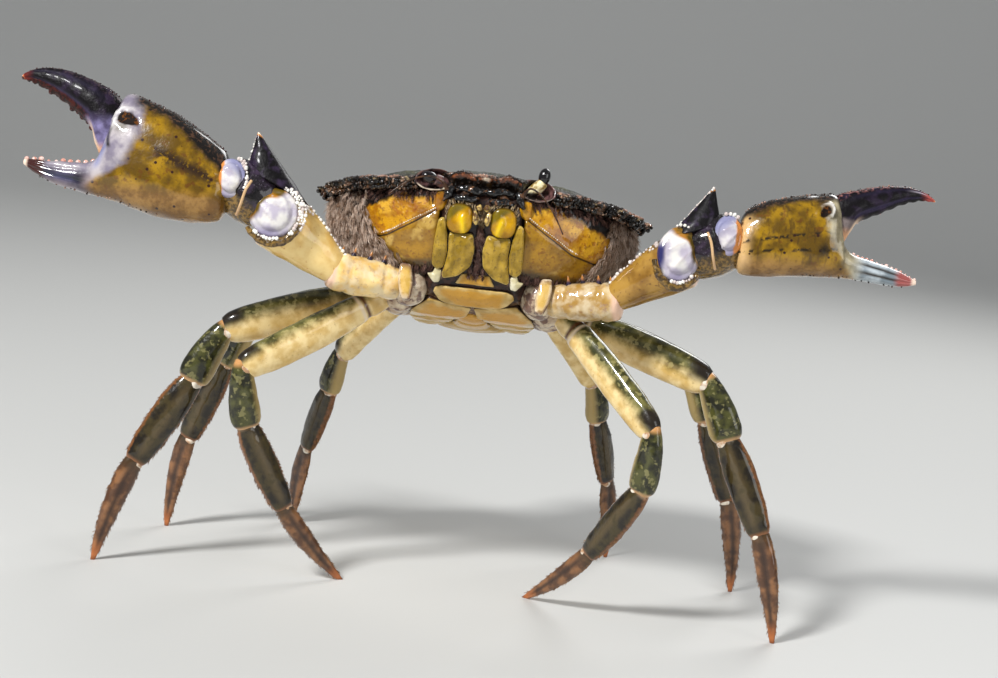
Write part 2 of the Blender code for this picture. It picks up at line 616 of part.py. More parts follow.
# Walking legs. Lengths of the hip piece with the thigh, then wrist, shin and foot
LEG_LENGTHS = {2: (8, 33, 15, 23.5, 25), 3: (8, 33, 15.5, 24.5, 26.5), 4: (8, 31.5, 14.5, 23, 25), 5: (7, 25, 12, 18.5, 22)}
LEG_SIZE = {2: 0.94, 3: 1.04, 4: 1.0, 5: 0.9}
# Turn of the leg forwards, fall of the hip piece, of the thigh and of the wrist piece, in degrees
LEG_POSE = {(2, 1): (43, 30, 36, 95), (3, 1): (22, 8, 16, 62), (4, 1): (-12, 5, 20, 62), (5, 1): (-44, 12, 48, 72),
            (2, -1): (27, 38, 27, 100), (3, -1): (16, 8, 18, 62), (4, -1): (-14, 5, 20, 62),
            (5, -1): (-42, 12, 48, 72)}
TUCKED_LEGS = (2,)  # their feet stand inwards of the knees, under the body
FOOT_STEEPER = math.radians(13)  # the foot falls this much more steeply than the shin
# Rows: share of the length, half height, half width
THIGH = ((0, 2.3, 2.1), (0.06, 3.3, 2.8), (0.15, 3.7, 3.0), (0.205, 3.3, 2.7), (0.26, 3.9, 2.9), (0.5, 4.6, 3.0),
         (0.78, 4.5, 2.9), (0.94, 4.0, 2.7), (1, 3.0, 2.1))
WRIST = ((0, 1.9, 1.5), (0.14, 2.7, 2.1), (0.4, 3.5, 2.5), (0.76, 4.1, 2.8), (0.93, 3.7, 2.5), (1, 2.8, 1.9))
SHIN = ((0, 1.9, 1.4), (0.1, 3.0, 2.1), (0.35, 3.8, 2.4), (0.7, 3.6, 2.2), (0.93, 2.9, 1.8), (1, 2.1, 1.3))
FOOT = ((0, 1.4, 1.1), (0.07, 2.3, 1.6), (0.28, 2.6, 1.6), (0.55, 2.1, 1.3), (0.8, 1.3, 0.9), (0.95, 0.7, 0.55), (1, 0.5, 0.45))
PADDLE = ((0, 1.3, 1.0), (0.07, 2.5, 1.1), (0.3, 3.3, 1.1), (0.6, 2.8, 0.9), (0.85, 1.5, 0.7), (1, 0.5, 0.45))
JOINT_OVERLAP = 1.6  # how far the root of a piece reaches into the piece before it


def leg_points(number, side):
    """Joints of a leg from hip to foot, with the foot on the floor."""
    turn, fall_hip, fall_thigh, fall_wrist = (math.radians(a) for a in LEG_POSE[number, side])
    hip_len, thigh_len, wrist_len, shin_len, foot_len = LEG_LENGTHS[number]
    hip = HIPS[number].copy()
    hip.x *= side
    hip = (Matrix.Translation((STAND_SHIFT[0], STAND_SHIFT[1], FRONT_HEIGHT))
           @ Matrix.Rotation(-NOSE_UP, 4, "X")) @ hip
    outward = Vector((side * math.cos(turn), -math.sin(turn), 0))

    def onward(point, length, fall):
        return point + outward * length * math.cos(fall) - Vector((0, 0, length * math.sin(fall)))

    points = [hip]
    for length, fall in ((hip_len, fall_hip), (thigh_len, fall_thigh), (wrist_len, fall_wrist)):
        points.append(onward(points[-1], length, fall))
    straight = shin_len + foot_len * math.cos(FOOT_STEEPER)
    crossed = foot_len * math.sin(FOOT_STEEPER)
    reach = math.hypot(straight, crossed)
    lean = math.asin(points[-1].z / reach)
    if number in TUCKED_LEGS:
        lean = math.pi - lean
    fall_shin = lean - math.atan2(crossed, straight)
    points.append(onward(points[-1], shin_len, fall_shin))
    points.append(onward(points[-1], foot_len, fall_shin + FOOT_STEEPER))
    return points


def stand_flat(obj):
    """Cuts the foot level with the floor, which leaves a small flat to stand on."""
    bm = bmesh.new()
    bm.from_mesh(obj.data)
    floor = (0, 0, -obj.location.z)
    cut = bmesh.ops.bisect_plane(bm, geom=bm.verts[:] + bm.edges[:] + bm.faces[:], plane_co=floor,
                                 plane_no=(0, 0, -1), clear_outer=True, dist=0.00001)
    edges = [e for e in cut["geom_cut"] if isinstance(e, bmesh.types.BMEdge)]
    bmesh.ops.edgenet_fill(bm, edges=edges)
    bmesh.ops.recalc_face_normals(bm, faces=bm.faces)
    bm.to_mesh(obj.data)
    bm.free()


def leg_rows(profile, size):
    return [(share, height * size, width * size) for share, height, width in profile]


def build_leg(number, side, word):
    hip, thigh, knee, ankle, heel, toe = leg_points(number, side)
    size = LEG_SIZE[number]
    plane = (knee - hip).cross(Vector((0, 0, 1)))

    def piece(part, root, end, profile, finish, bow, sides):
        """One piece, its root sunk in the piece before it. It bows towards the outer side of the leg."""
        outer = plane.cross(end - root)
        sunk = root - (end - root).normalized() * JOINT_OVERLAP
        name = "leg%d_%s_%s" % (number, part, word)
        return article(name, sunk, end, outer, leg_rows(profile, size), finish, bow, sides)

    rise = plane.cross(knee - hip).normalized()
    thigh_bow = (thigh - hip.lerp(knee, 0.25)).dot(rise) * 0.5
    upper = piece("thigh", hip, knee, THIGH, LEG_OLIVE, thigh_bow, 10)
    wrist = piece("wrist", knee, ankle, WRIST, LEG_OLIVE, 0.5, 8)
    shin = piece("shin", ankle, heel, SHIN, LEG_OLIVE, 0.2, 8)
    toe = toe + (toe - heel).normalized() * 0.6
    foot = piece("foot", heel, toe, PADDLE if number == 5 else FOOT, SHELL_YELLOW, 0.8, 8)
    stand_flat(foot)
    make_room(shin, foot)
    make_room(wrist, shin)
    make_room(upper, wrist)
    return upper


def build():
    clear_scene()
    carapace = build_carapace()
    thorax = build_thorax()
    tail = build_tail()
    flanks = [build_flank(1, "flank_left"), build_flank(-1, "flank_right")]
    mouth = [build_mouthpart(1, "mouth_plate_left"), build_mouthpart(-1, "mouth_plate_right")]
    eyes = [build_eye(1, "eyestalk_left", "eye_left"), build_eye(-1, "eyestalk_right", "eye_right")]
    feelers = [build_feeler(1, "feeler_left"), build_feeler(-1, "feeler_right"),
               build_small_feeler(1, "small_feeler_left"), build_small_feeler(-1, "small_feeler_right")]
    claws = [build_claw(1, "left"), build_claw(-1, "right")]
    front = [piece for eye in eyes for piece in eye]
    make_room(carapace, *front)
    for flank in flanks:
        make_room(flank, claws[0]["base"], claws[1]["base"], claws[0]["upper"], claws[1]["upper"], *front)
    make_room(thorax, tail, *flanks, *mouth)
    make_room(thorax, *front, *feelers, claws[0]["base"], claws[1]["base"])
    body = [carapace, thorax, tail, *flanks, *mouth, *front, *feelers]
    body += [piece for claw in claws for piece in claw.values()]
    raise_body(body)
    thighs = []
    for number in HIPS:
        for side, word in ((1, "left"), (-1, "right")):
            thighs.append(build_leg(number, side, word))
    make_room(thorax, *thighs)
    for obj in bpy.data.objects:
        if obj.type == "MESH":
            obj.data.shade_smooth()
            obj.data.set_sharp_from_angle(angle=math.radians(40))


build()
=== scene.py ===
"""Looks of the green crab: its shell plates, mouth, eyes, claws and legs, with their grains and hairs."""

import math

import bmesh
import bpy
import numpy as np
from mathutils import Matrix, Vector, noise


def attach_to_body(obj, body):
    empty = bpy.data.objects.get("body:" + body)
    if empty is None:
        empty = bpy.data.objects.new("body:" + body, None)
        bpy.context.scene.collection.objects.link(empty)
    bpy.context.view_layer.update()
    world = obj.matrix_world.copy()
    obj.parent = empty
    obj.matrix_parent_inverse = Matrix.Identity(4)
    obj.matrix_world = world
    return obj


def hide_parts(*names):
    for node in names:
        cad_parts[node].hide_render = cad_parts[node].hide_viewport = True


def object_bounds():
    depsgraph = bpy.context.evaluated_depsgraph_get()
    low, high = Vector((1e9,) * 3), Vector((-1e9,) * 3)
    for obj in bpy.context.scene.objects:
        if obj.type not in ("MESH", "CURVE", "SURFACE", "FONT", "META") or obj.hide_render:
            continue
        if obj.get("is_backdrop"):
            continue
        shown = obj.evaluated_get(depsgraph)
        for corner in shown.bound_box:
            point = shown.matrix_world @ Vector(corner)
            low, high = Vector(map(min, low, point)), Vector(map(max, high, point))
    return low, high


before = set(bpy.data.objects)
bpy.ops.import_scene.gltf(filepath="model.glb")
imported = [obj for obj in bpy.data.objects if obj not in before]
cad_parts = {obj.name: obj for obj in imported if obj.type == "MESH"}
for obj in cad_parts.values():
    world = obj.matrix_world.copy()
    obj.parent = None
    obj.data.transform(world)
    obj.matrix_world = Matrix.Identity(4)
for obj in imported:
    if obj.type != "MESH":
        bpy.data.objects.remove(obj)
cad_bounds = [list(corner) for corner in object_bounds()]

# The body is laid out in millimetres: X to the crab's left, Y to the rear, Z up, from the middle of the
# front edge of the carapace. It stands nose up on its legs. These values repeat those of the solids.
MM = 0.001
NOSE_UP = math.radians(14.5)
STAND = (2.9, -26.96, 104.0)
BODY_PLACE = Matrix.Translation(Vector(STAND) * MM) @ Matrix.Rotation(-NOSE_UP, 4, "X")
UPRIGHT = Matrix.Identity(4)

# Camera: a 70 mm lens a little above the crab, turned about its axis as in the photograph.
CAMERA_RISE = math.radians(8)
CAMERA_ROLL = math.radians(6.5)
CAMERA_AWAY = 464
CAMERA_ASIDE = 7.3
CAMERA_UP = -36.7
look_back = Vector((0, -math.cos(CAMERA_RISE), math.sin(CAMERA_RISE)))
look_up = Vector((0, math.sin(CAMERA_RISE), math.cos(CAMERA_RISE)))
look_right = Vector((1, 0, 0))
eye_point = (BODY_PLACE @ Vector((0, 0, 0)) + (look_right * CAMERA_ASIDE + look_up * CAMERA_UP
                                               + look_back * CAMERA_AWAY) * MM)
lens = bpy.data.cameras.new("camera")
lens.lens = 70
lens.sensor_width = 36
lens.clip_start = 0.01
camera = bpy.data.objects.new("camera", lens)
camera_across = look_right * math.cos(CAMERA_ROLL) + look_up * math.sin(CAMERA_ROLL)
camera_above = look_up * math.cos(CAMERA_ROLL) - look_right * math.sin(CAMERA_ROLL)
camera_turn = Matrix((camera_across, camera_above, look_back)).transposed().to_4x4()
camera.matrix_world = Matrix.Translation(eye_point) @ camera_turn
bpy.context.scene.collection.objects.link(camera)
bpy.context.scene.camera = camera

# The floor is a plain pale sheet that sweeps up far behind the crab, lit by large soft lamps.
bend_round = [(1.0 + 0.8 * math.sin(a), 0.8 - 0.8 * math.cos(a)) for a in np.linspace(0, math.pi / 2, 17)]
profile = [(-3.0, 0.0)] + bend_round + [(1.8, 4.0)]
sheet = bpy.data.meshes.new("floor")
sheet.from_pydata([(x, y, z) for y, z in profile for x in (-12.0, 12.0)], [],
                  [(2 * k, 2 * k + 1, 2 * k + 3, 2 * k + 2) for k in range(len(profile) - 1)])
sheet.shade_smooth()
floor = bpy.data.objects.new("floor", sheet)
bpy.context.scene.collection.objects.link(floor)
paint = bpy.data.materials.new("floor")
paint.use_nodes = True
paint.node_tree.nodes["Principled BSDF"].inputs["Base Color"].default_value = (0.60, 0.60, 0.58, 1)
paint.node_tree.nodes["Principled BSDF"].inputs["Roughness"].default_value = 0.6
floor.data.materials.append(paint)
floor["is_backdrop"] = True

world = bpy.data.worlds.new("studio")
world.use_nodes = True
world.node_tree.nodes["Background"].inputs["Color"].default_value = (0.92, 0.95, 1.0, 1)
world.node_tree.nodes["Background"].inputs["Strength"].default_value = 0.30
bpy.context.scene.world = world


CRAB_MIDDLE = (0, 0, 0.08)


def lamp(name, place, size, power):
    """A square soft lamp that shines on the middle of the crab."""
    light = bpy.data.lights.new(name, "AREA")
    light.size = size
    light.energy = power
    obj = bpy.data.objects.new(name, light)
    obj.location = place
    obj.rotation_euler = (Vector(CRAB_MIDDLE) - Vector(place)).to_track_quat("-Z", "Y").to_euler()
    bpy.context.scene.collection.objects.link(obj)


lamp("key", (-0.50, -0.60, 0.75), 0.15, 12)
lamp("fill", (0.7, -0.6, 0.35), 0.5, 2)
lamp("rim", (0.35, 0.6, 0.6), 0.4, 3)
bpy.context.scene.view_settings.view_transform = "Standard"


# Carapace: the one plate over the back, a limy shell with a granular rim, three lobes between the eyes
# and five teeth on each side. It grows over the whole body and is fixed all round to the flanks.
REAR_EDGE = 60.5
SIDE_CENTRE = (16.5, 25.5)
SIDE_RADII = (25.6, 25.3)
TOOTH_ANGLES = (84, 66, 48, 29, 6)
TOOTH_REACH = 3.4
TEETH_END = 33
EDGE_DROP = 1.1
RIM_FRONT = 1.2
RIM_FALL = 0.07
RIM_DEPTH = 2.6
THORAX_TOP_DEPTH = RIM_DEPTH + 0.3
DOME = 6.7
DOME_CENTRE = (0.0, 29.0)


def colour(red, green, blue):
    """A linear colour from the 0 to 255 values of a screen."""
    def linear(value):
        share = value / 255
        return share / 12.92 if share <= 0.04045 else ((share + 0.055) / 1.055) ** 2.4
    return (linear(red), linear(green), linear(blue), 1.0)


class Wire:
    """A value inside a tree of nodes. Sums and products of wires add the nodes that work them out."""

    def __init__(self, tree, socket):
        self.tree = tree
        self.socket = socket

    def node(self, kind, settings, inputs, output=0):
        """Adds any node: its settings first, then the values or links of its sockets."""
        made = self.tree.nodes.new(kind)
        for name, value in settings.items():
            setattr(made, name, value)
        for name, value in inputs.items():
            if isinstance(value, Wire):
                self.tree.links.new(value.socket, made.inputs[name])
            else:
                made.inputs[name].default_value = value
        return Wire(self.tree, made.outputs[output])

    def other(self, output):
        """Another output of the same node."""
        return Wire(self.tree, self.socket.node.outputs[output])

    def maths(self, operation, *values):
        return self.node("ShaderNodeMath", {"operation": operation}, dict(enumerate(values)))

    def __add__(self, value):
        return self.maths("ADD", self, value)

    def __sub__(self, value):
        return self.maths("SUBTRACT", self, value)

    def __rsub__(self, value):
        return self.maths("SUBTRACT", value, self)

    def __mul__(self, value):
        return self.maths("MULTIPLY", self, value)

    def __truediv__(self, value):
        return self.maths("DIVIDE", self, value)

    __radd__ = __add__
    __rmul__ = __mul__

    def either(self, value):
        """The larger of two values."""
        return self.maths("MAXIMUM", self, value)

    def size(self):
        return self.maths("ABSOLUTE", self)

    def step(self, low, high):
        """0 up to low and 1 from high on, with a smooth rise between. Falls if low is the larger."""
        return self.node("ShaderNodeMapRange", {"interpolation_type": "SMOOTHSTEP"},
                         {"Value": self, "From Min": low, "From Max": high})

    def ridge(self, middle, width):
        """1 at the middle value and 0 beyond the width on either side."""
        return (self - middle).size().step(width, 0)

    def mark(self, name):
        """A value that the mesh carries at each of its points."""
        return self.node("ShaderNodeAttribute", {"attribute_name": name}, {}, "Fac")

    def marks(self, *names):
        return [self.mark(name) for name in names]

    def mist(self, size, detail=2.0):
        """Soft random patches of a size in millimetres, for a wire of coordinates."""
        return self.node("ShaderNodeTexNoise", {}, {"Vector": self, "Scale": 1000 / size, "Detail": detail})

    def cells(self, size):
        """Distance to the nearest of many random points that lie about that many millimetres apart."""
        return self.node("ShaderNodeTexVoronoi", {}, {"Vector": self, "Scale": 1000 / size})

    def into(self, name):
        self.tree.links.new(self.socket, self.tree.nodes["Principled BSDF"].inputs[name])

    def raise_surface(self, height):
        """Bump, with the wire as a height from 0 to 1 of that many millimetres."""
        self.node("ShaderNodeBump", {}, {"Height": self, "Distance": height * MM}).into("Normal")


def mixed(factor, low, high):
    """The colour low where the factor is 0, high where it is 1, both wires or the values of a screen."""
    low, high = (side if isinstance(side, Wire) else colour(*side) for side in (low, high))
    return factor.node("ShaderNodeMix", {"data_type": "RGBA"}, {0: factor, 6: low, 7: high}, 2)


def layered(base, *layers):
    """A colour with more colours laid over it, each where its own mask is 1."""
    for mask, over in layers:
        base = mixed(mask, base, over)
    return base


def wet_shell(name, roughness=0.42, coat=0.7, coat_roughness=0.07):
    """A damp, glossy finish, and the wire of coordinates on which its pattern lies."""
    material = bpy.data.materials.new(name)
    material.use_nodes = True
    tree = material.node_tree
    shader = tree.nodes["Principled BSDF"]
    shader.inputs["Roughness"].default_value = roughness
    shader.inputs["Specular IOR Level"].default_value = 0.15
    shader.inputs["Coat Weight"].default_value = coat
    shader.inputs["Coat Roughness"].default_value = coat_roughness
    return material, Wire(tree, tree.nodes.new("ShaderNodeTexCoord").outputs["Object"])


def through(points, count):
    """Evenly shared points on a smooth line through the given ones."""
    points = np.asarray(points, float)
    spans = len(points) - 1
    place = np.linspace(0, spans, count)
    k = np.minimum(place.astype(int), spans - 1)
    t = (place - k)[:, None]
    a, b = points[np.maximum(k - 1, 0)], points[k]
    c, d = points[k + 1], points[np.minimum(k + 2, spans)]
    return 0.5 * (2 * b + (c - a) * t + (2 * a - 5 * b + 4 * c - d) * t ** 2
                  + (3 * b - a - 3 * c + d) * t ** 3)


def lumps(points, size, seed=0):
    """Smooth random values from -1 to 1, of the given size, at points."""
    shift = Vector((17.3, 5.1, -9.7)) * seed
    flat = points.reshape(-1, 3) / size
    return np.array([noise.noise(Vector(p) + shift) for p in flat]).reshape(points.shape[:-1])


def outward(grid):
    """Unit normals of a closed grid of rings."""
    around = np.roll(grid, -1, axis=1) - np.roll(grid, 1, axis=1)
    normal = np.cross(np.gradient(grid, axis=0), around)
    normal /= np.linalg.norm(normal, axis=2, keepdims=True) + 1e-9
    middle = grid.mean(axis=1, keepdims=True)
    return normal * np.sign(((grid - middle) * normal).sum(axis=2).mean())


def in_world(points, place):
    """Points in millimetres of a frame, in metres of the world."""
    turn = np.array(place)
    return points @ turn[:3, :3].T * MM + turn[:3, 3]


def shell_mesh(name, grid, material, place=BODY_PLACE, marks=None):
    """A closed piece through a grid of rings in millimetres, with values for its material at each point."""
    rows, around = grid.shape[:2]
    points = np.vstack([grid.reshape(-1, 3), grid[0].mean(axis=0), grid[-1].mean(axis=0)])
    here = np.arange(around)
    after = np.roll(here, -1)
    faces = []
    for row in range(rows - 1):
        low, high = row * around, (row + 1) * around
        faces += np.stack([low + here, low + after, high + after, high + here], axis=1).tolist()
    last = (rows - 1) * around
    faces += [(j, i, rows * around) for i, j in zip(here.tolist(), after.tolist())]
    faces += [(last + i, last + j, rows * around + 1) for i, j in zip(here.tolist(), after.tolist())]
    mesh = bpy.data.meshes.new(name)
    mesh.from_pydata(in_world(points, place).tolist(), [], faces)
    bm = bmesh.new()
    bm.from_mesh(mesh)
    bmesh.ops.recalc_face_normals(bm, faces=bm.faces)
    if bm.calc_volume(signed=True) < 0:
        bmesh.ops.reverse_faces(bm, faces=bm.faces)
    bm.to_mesh(mesh)
    bm.free()
    for mark, values in (marks or {}).items():
        values = np.broadcast_to(values, (rows, around))
        flat = np.concatenate([values.ravel(), [values[0].mean(), values[-1].mean()]])
        mesh.attributes.new(mark, "FLOAT", "POINT").data.foreach_set("value", flat)
    mesh.shade_smooth()
    mesh.materials.append(material)
    obj = bpy.data.objects.new(name, mesh)
    bpy.context.scene.collection.objects.link(obj)
    return obj


SIDES = ((1, "left"), (-1, "right"))


def attach(obj, slot, node=None):
    """The piece stays with the body and may stand for a solid node, whose part it hides. The slot is not
    used.
    """
    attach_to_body(obj, "root")
    if node:
        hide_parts(node)


def limited(value):
    return np.clip(value, 0, 1)


def hump(value, middle, width):
    """1 at the middle value, falling softly to 0 over about twice the width on either side."""
    return np.exp(-((value - middle) / width) ** 2)


def full_turn(count):
    return np.linspace(0, math.tau, count, endpoint=False)


def pushed(grid, height):
    """The grid with its points moved outwards by heights in millimetres."""
    return grid + outward(grid) * np.asarray(height)[..., None]


def spots(grid):
    """Marks with each point's place in its own frame, in millimetres."""
    return {"across": grid[..., 0], "rear": grid[..., 1], "up": grid[..., 2]}


def rim_height(y):
    return RIM_FRONT - RIM_FALL * y


def side_arc(angle, reach):
    """A point near the front side of the carapace, reach millimetres out from the line of the notches."""
    a = math.radians(angle)
    return (SIDE_CENTRE[0] + (SIDE_RADII[0] - TOOTH_REACH + reach) * math.cos(a),
            SIDE_CENTRE[1] - (SIDE_RADII[1] - TOOTH_REACH + reach) * math.sin(a))


def half_outline():
    """Left half of the carapace from above, front to rear, as pairs of a toothed and a smooth point."""
    front = [((0, -1.3), (0, 2.0)), ((1.9, -1.0), (2, 2.1)), ((3.1, 0.3), (3.2, 2.2)),
             ((5.2, -0.7), (5.2, 2.4)), ((7.4, -0.3), (7.4, 2.8)), ((8.9, 1.4), (8.9, 3.4)),
             ((11.2, 4.4), (11.2, 5.4)), ((14.2, 4.6), (14.2, 6.0)), ((16.4, 2.6), (16.6, 5.4))]
    teeth = []
    for here, after in zip(TOOTH_ANGLES, TOOTH_ANGLES[1:] + (-12,)):
        step = here - after
        teeth.append((side_arc(here, TOOTH_REACH), side_arc(here, -1.4)))
        teeth.append((side_arc(here - 0.36 * step, 1.9), side_arc(here - 0.36 * step, -1.2)))
        teeth.append((side_arc(here - 0.80 * step, 0.0), side_arc(here - 0.80 * step, -1.2)))
    rear = [(p, p) for p in ((37.0, 31.5), (33.2, 40.5), (27.6, 49.2), (21.6, 56.4),
                             (18.4, 59.4), (11.0, 60.3), (0, REAR_EDGE))]
    return front + teeth + rear


def outline(which, steps=9):
    """The whole edge from above as a fine line, toothed (0) or smooth (1)."""
    half = [pair[which] for pair in half_outline()]
    line = through(half, (len(half) - 1) * steps + 1)
    return np.vstack([line, (line * (-1, 1))[-2:0:-1]])


def back_relief(x, y):
    """Swellings and furrows of the back: gut, heart and gill regions, with the furrow between them."""
    def lobe(cx, cy, rx, ry, rise):
        return rise * np.exp(-((np.abs(x) - cx) / rx) ** 2 - ((y - cy) / ry) ** 2)
    swells = (lobe(0, 24, 9, 10, 0.9) + lobe(0, 45, 7, 6, 0.8) + lobe(21, 34, 9, 12, 0.9)
              + lobe(19, 14, 6, 5, 0.6) - lobe(12, 33, 3, 8, 0.9) - lobe(0, 36, 6, 2, 0.6))
    furrow = 10.5 + 0.020 * (y - 33) ** 2
    fold = -0.45 * np.exp(-((np.abs(x) - furrow) / 0.8) ** 2) * hump(y, 33, 11)
    return swells + fold + lobe(4.5, 9, 3.0, 4.0, 0.45) - lobe(0, 12, 1.0, 5.0, 0.35)


edge_toothed, edge_smooth = outline(0), outline(1)
rings, tooth_rows, edge_rows = [], [], []


def brows(x, y):
    """Rise of the brows over the eye sockets, and of the three lobes between them."""
    arch = hump(np.abs(x), 11.4, 3.6) * hump(y, 4.2, 2.6)
    lobe = hump(np.abs(x), 5.4, 2.0) * hump(y, 0, 2.4)
    return 1.3 * arch + 0.75 * lobe


teeth_out = np.linalg.norm(edge_toothed - edge_smooth, axis=1) * (np.abs(edge_toothed[:, 0]) > 15)
droop = -0.34 * np.clip(teeth_out - 1.6, 0, None)
sink = limited((np.abs(edge_toothed[:, 0]) - 15) / 5) * limited((42 - np.abs(edge_toothed[:, 0])) / 3)
sink = -EDGE_DROP * sink * limited((TEETH_END - edge_toothed[:, 1]) / 10)
for drop, inset in ((RIM_DEPTH, 0.9), (1.8, 0.55), (1.0, 0.25), (0.45, 0.06)):
    ring = edge_toothed + (edge_smooth - edge_toothed) * inset
    lift = brows(ring[:, 0], ring[:, 1]) * (1 - drop / RIM_DEPTH) + droop * (1 - inset) + sink
    rings.append(np.column_stack([ring, rim_height(ring[:, 1]) - drop + lift]))
    tooth_rows.append(1 - inset)
    edge_rows.append(1.0)
for share in (0, 0.012, 0.03, 0.055, 0.09, 0.13, 0.18, 0.24, *np.linspace(0.28, 0.97, 24)):
    sharp = np.interp(share, (0, 0.09, 0.24), (1, 0.35, 0))
    ring = edge_smooth + (edge_toothed - edge_smooth) * sharp
    ring = ring + (np.array(DOME_CENTRE) - ring) * share
    roll = 0.25 * math.sin(math.pi * min(1, share / 0.03)) * (share < 0.03)
    rise = DOME * (1 - (1 - share) ** 2.1) + roll
    relief = back_relief(ring[:, 0], ring[:, 1]) * min(1.0, 4 * share)
    relief = relief + brows(ring[:, 0], ring[:, 1]) * max(0.0, 1 - share / 0.2) + droop * sharp
    relief = relief + sink * max(0.0, 1 - share / 0.9)
    rings.append(np.column_stack([ring, rim_height(ring[:, 1]) + rise + relief]))
    tooth_rows.append(sharp)
    edge_rows.append(max(0.0, 1 - share / 0.11))
back = np.array(rings)
grainy = limited(1.5 - np.abs(back[..., 1] - 12) / 22)
edges = np.array(edge_rows)[:, None] * limited((44 - back[..., 1]) / 8)
knobs = lumps(back, 1.1) * (0.08 + 0.16 * grainy) + lumps(back, 3.4, 1) * 0.12
knobs = knobs + lumps(back, 2.0, 2) * 0.30 * edges
back += outward(back) * knobs[..., None]
reach = np.broadcast_to(np.linalg.norm(edge_toothed - edge_smooth, axis=1), back.shape[:2])
marks = spots(back)
marks["tip"] = limited((reach * np.array(tooth_rows)[:, None] - 3.6) / 1.4)
marks["edge"] = edges
below = rim_height(back[..., 1]) + brows(back[..., 0], back[..., 1]) - back[..., 2]
marks["lip"] = hump(below, 0.35, 0.30) * (np.abs(back[..., 0]) < 8.6) * (back[..., 1] < 4) * edges

back_finish, spot = wet_shell("wet back shell", 0.45, 0.75, 0.10)
grain = spot.cells(1.0)
patches = spot.mist(7.0, 4)
specks = spot.mist(1.5, 3)
green = mixed(patches.step(0.36, 0.62), (28, 30, 10), (74, 78, 30))
green = mixed(specks.step(0.58, 0.68) * patches.step(0.40, 0.55), green, (132, 124, 62))
rear = spot.mark("rear")
edge = spot.mark("edge")
dark = mixed(rear.step(18, 3).either((edge + patches * 0.5 - 0.25).step(0.25, 0.6)), green, (17, 11, 7))
dark = layered(dark,
               (edge * patches.step(0.56, 0.66) * 0.7, (104, 70, 20)),
               (grain.step(0.30, 0.12) * rear.step(22, 8) * specks.step(0.44, 0.6), (124, 90, 72)),
               (spot.mark("lip") * specks.step(0.36, 0.52), (166, 92, 50)),
               (spot.mark("lip") * spot.mark("across").size().step(1.3, 0.5), (246, 226, 200)),
               (spot.mark("tip") * 0.9, (214, 186, 140)))
dark.into("Base Color")
(specks * 0.25 + 0.26).into("Roughness")
(grain.step(0.55, 0.0) + specks * 0.7).raise_surface(0.3)
attach(shell_mesh("back_shell", back, back_finish, marks=marks), "carapace", "carapace")


def new_tree(name, **sizes):
    """A tree for Geometry Nodes with a geometry in and out and the named sizes as inputs."""
    tree = bpy.data.node_groups.new(name, "GeometryNodeTree")
    tree.interface.new_socket("Geometry", in_out="INPUT", socket_type="NodeSocketGeometry")
    for size, kind in sizes.items():
        tree.interface.new_socket(size, in_out="INPUT", socket_type="NodeSocket" + kind)
    tree.interface.new_socket("Geometry", in_out="OUTPUT", socket_type="NodeSocketGeometry")
    return tree, Wire(tree, tree.nodes.new("NodeGroupInput").outputs["Geometry"])


def close_tree(shape, paint_wire):
    """Ends a tree: the copies made real, shaded smooth and painted."""
    shape = shape.node("GeometryNodeRealizeInstances", {}, {"Geometry": shape})
    shape = shape.node("GeometryNodeSetShadeSmooth", {}, {"Geometry": shape})
    shape = shape.node("GeometryNodeSetMaterial", {}, {"Geometry": shape, "Material": paint_wire})
    end = shape.tree.nodes.new("NodeGroupOutput")
    shape.tree.links.new(shape.socket, end.inputs["Geometry"])


def grown(name, source, tree, **values):
    """The plain mesh that a tree makes from a source object, as an object; the source stays as it was."""
    step = source.modifiers.new("growth", "NODES")
    step.node_group = tree
    for socket in tree.interface.items_tree:
        if socket.in_out == "INPUT" and socket.name in values:
            step[socket.identifier] = values[socket.name]
    graph = bpy.context.evaluated_depsgraph_get()
    mesh = bpy.data.meshes.new_from_object(source.evaluated_get(graph))
    source.modifiers.remove(step)
    mesh.name = name
    obj = bpy.data.objects.new(name, mesh)
    bpy.context.scene.collection.objects.link(obj)
    return obj


def bead(wire, low, high):
    """A round bead to copy, and a random factor for the size of each copy."""
    ball = wire.node("GeometryNodeMeshUVSphere", {}, {"Segments": 8, "Rings": 5, "Radius": 1.0})
    size = wire.node("FunctionNodeRandomValue", {"data_type": "FLOAT"}, {2: low, 3: high, "Seed": 3}, 1)
    return ball, size


row_tree, start = new_tree("beads in a row", Spacing="Float", Size="Float", Jitter="Float", Seed="Int",
                           Finish="Material")
line = start.node("GeometryNodeMeshToCurve", {}, {"Mesh": start})
line = start.node("GeometryNodeResampleCurve", {}, {"Curve": line, "Count": 2})
line.socket.node.mode = "LENGTH"
start.tree.links.new(start.other("Spacing").socket, line.socket.node.inputs["Length"])
ball, size = bead(start, 0.55, 1.25)
scatter = start.node("FunctionNodeRandomValue", {"data_type": "FLOAT_VECTOR"},
                     {0: (-1, -1, -1), 1: (1, 1, 1), "Seed": start.other("Seed")})
scatter = start.node("ShaderNodeVectorMath", {"operation": "SCALE"},
                     {0: scatter, "Scale": start.other("Jitter")})
line = start.node("GeometryNodeSetPosition", {}, {"Geometry": line, "Offset": scatter})
beads = start.node("GeometryNodeInstanceOnPoints", {},
                   {"Points": line, "Instance": ball, "Scale": size * start.other("Size")})
close_tree(beads, start.other("Finish"))


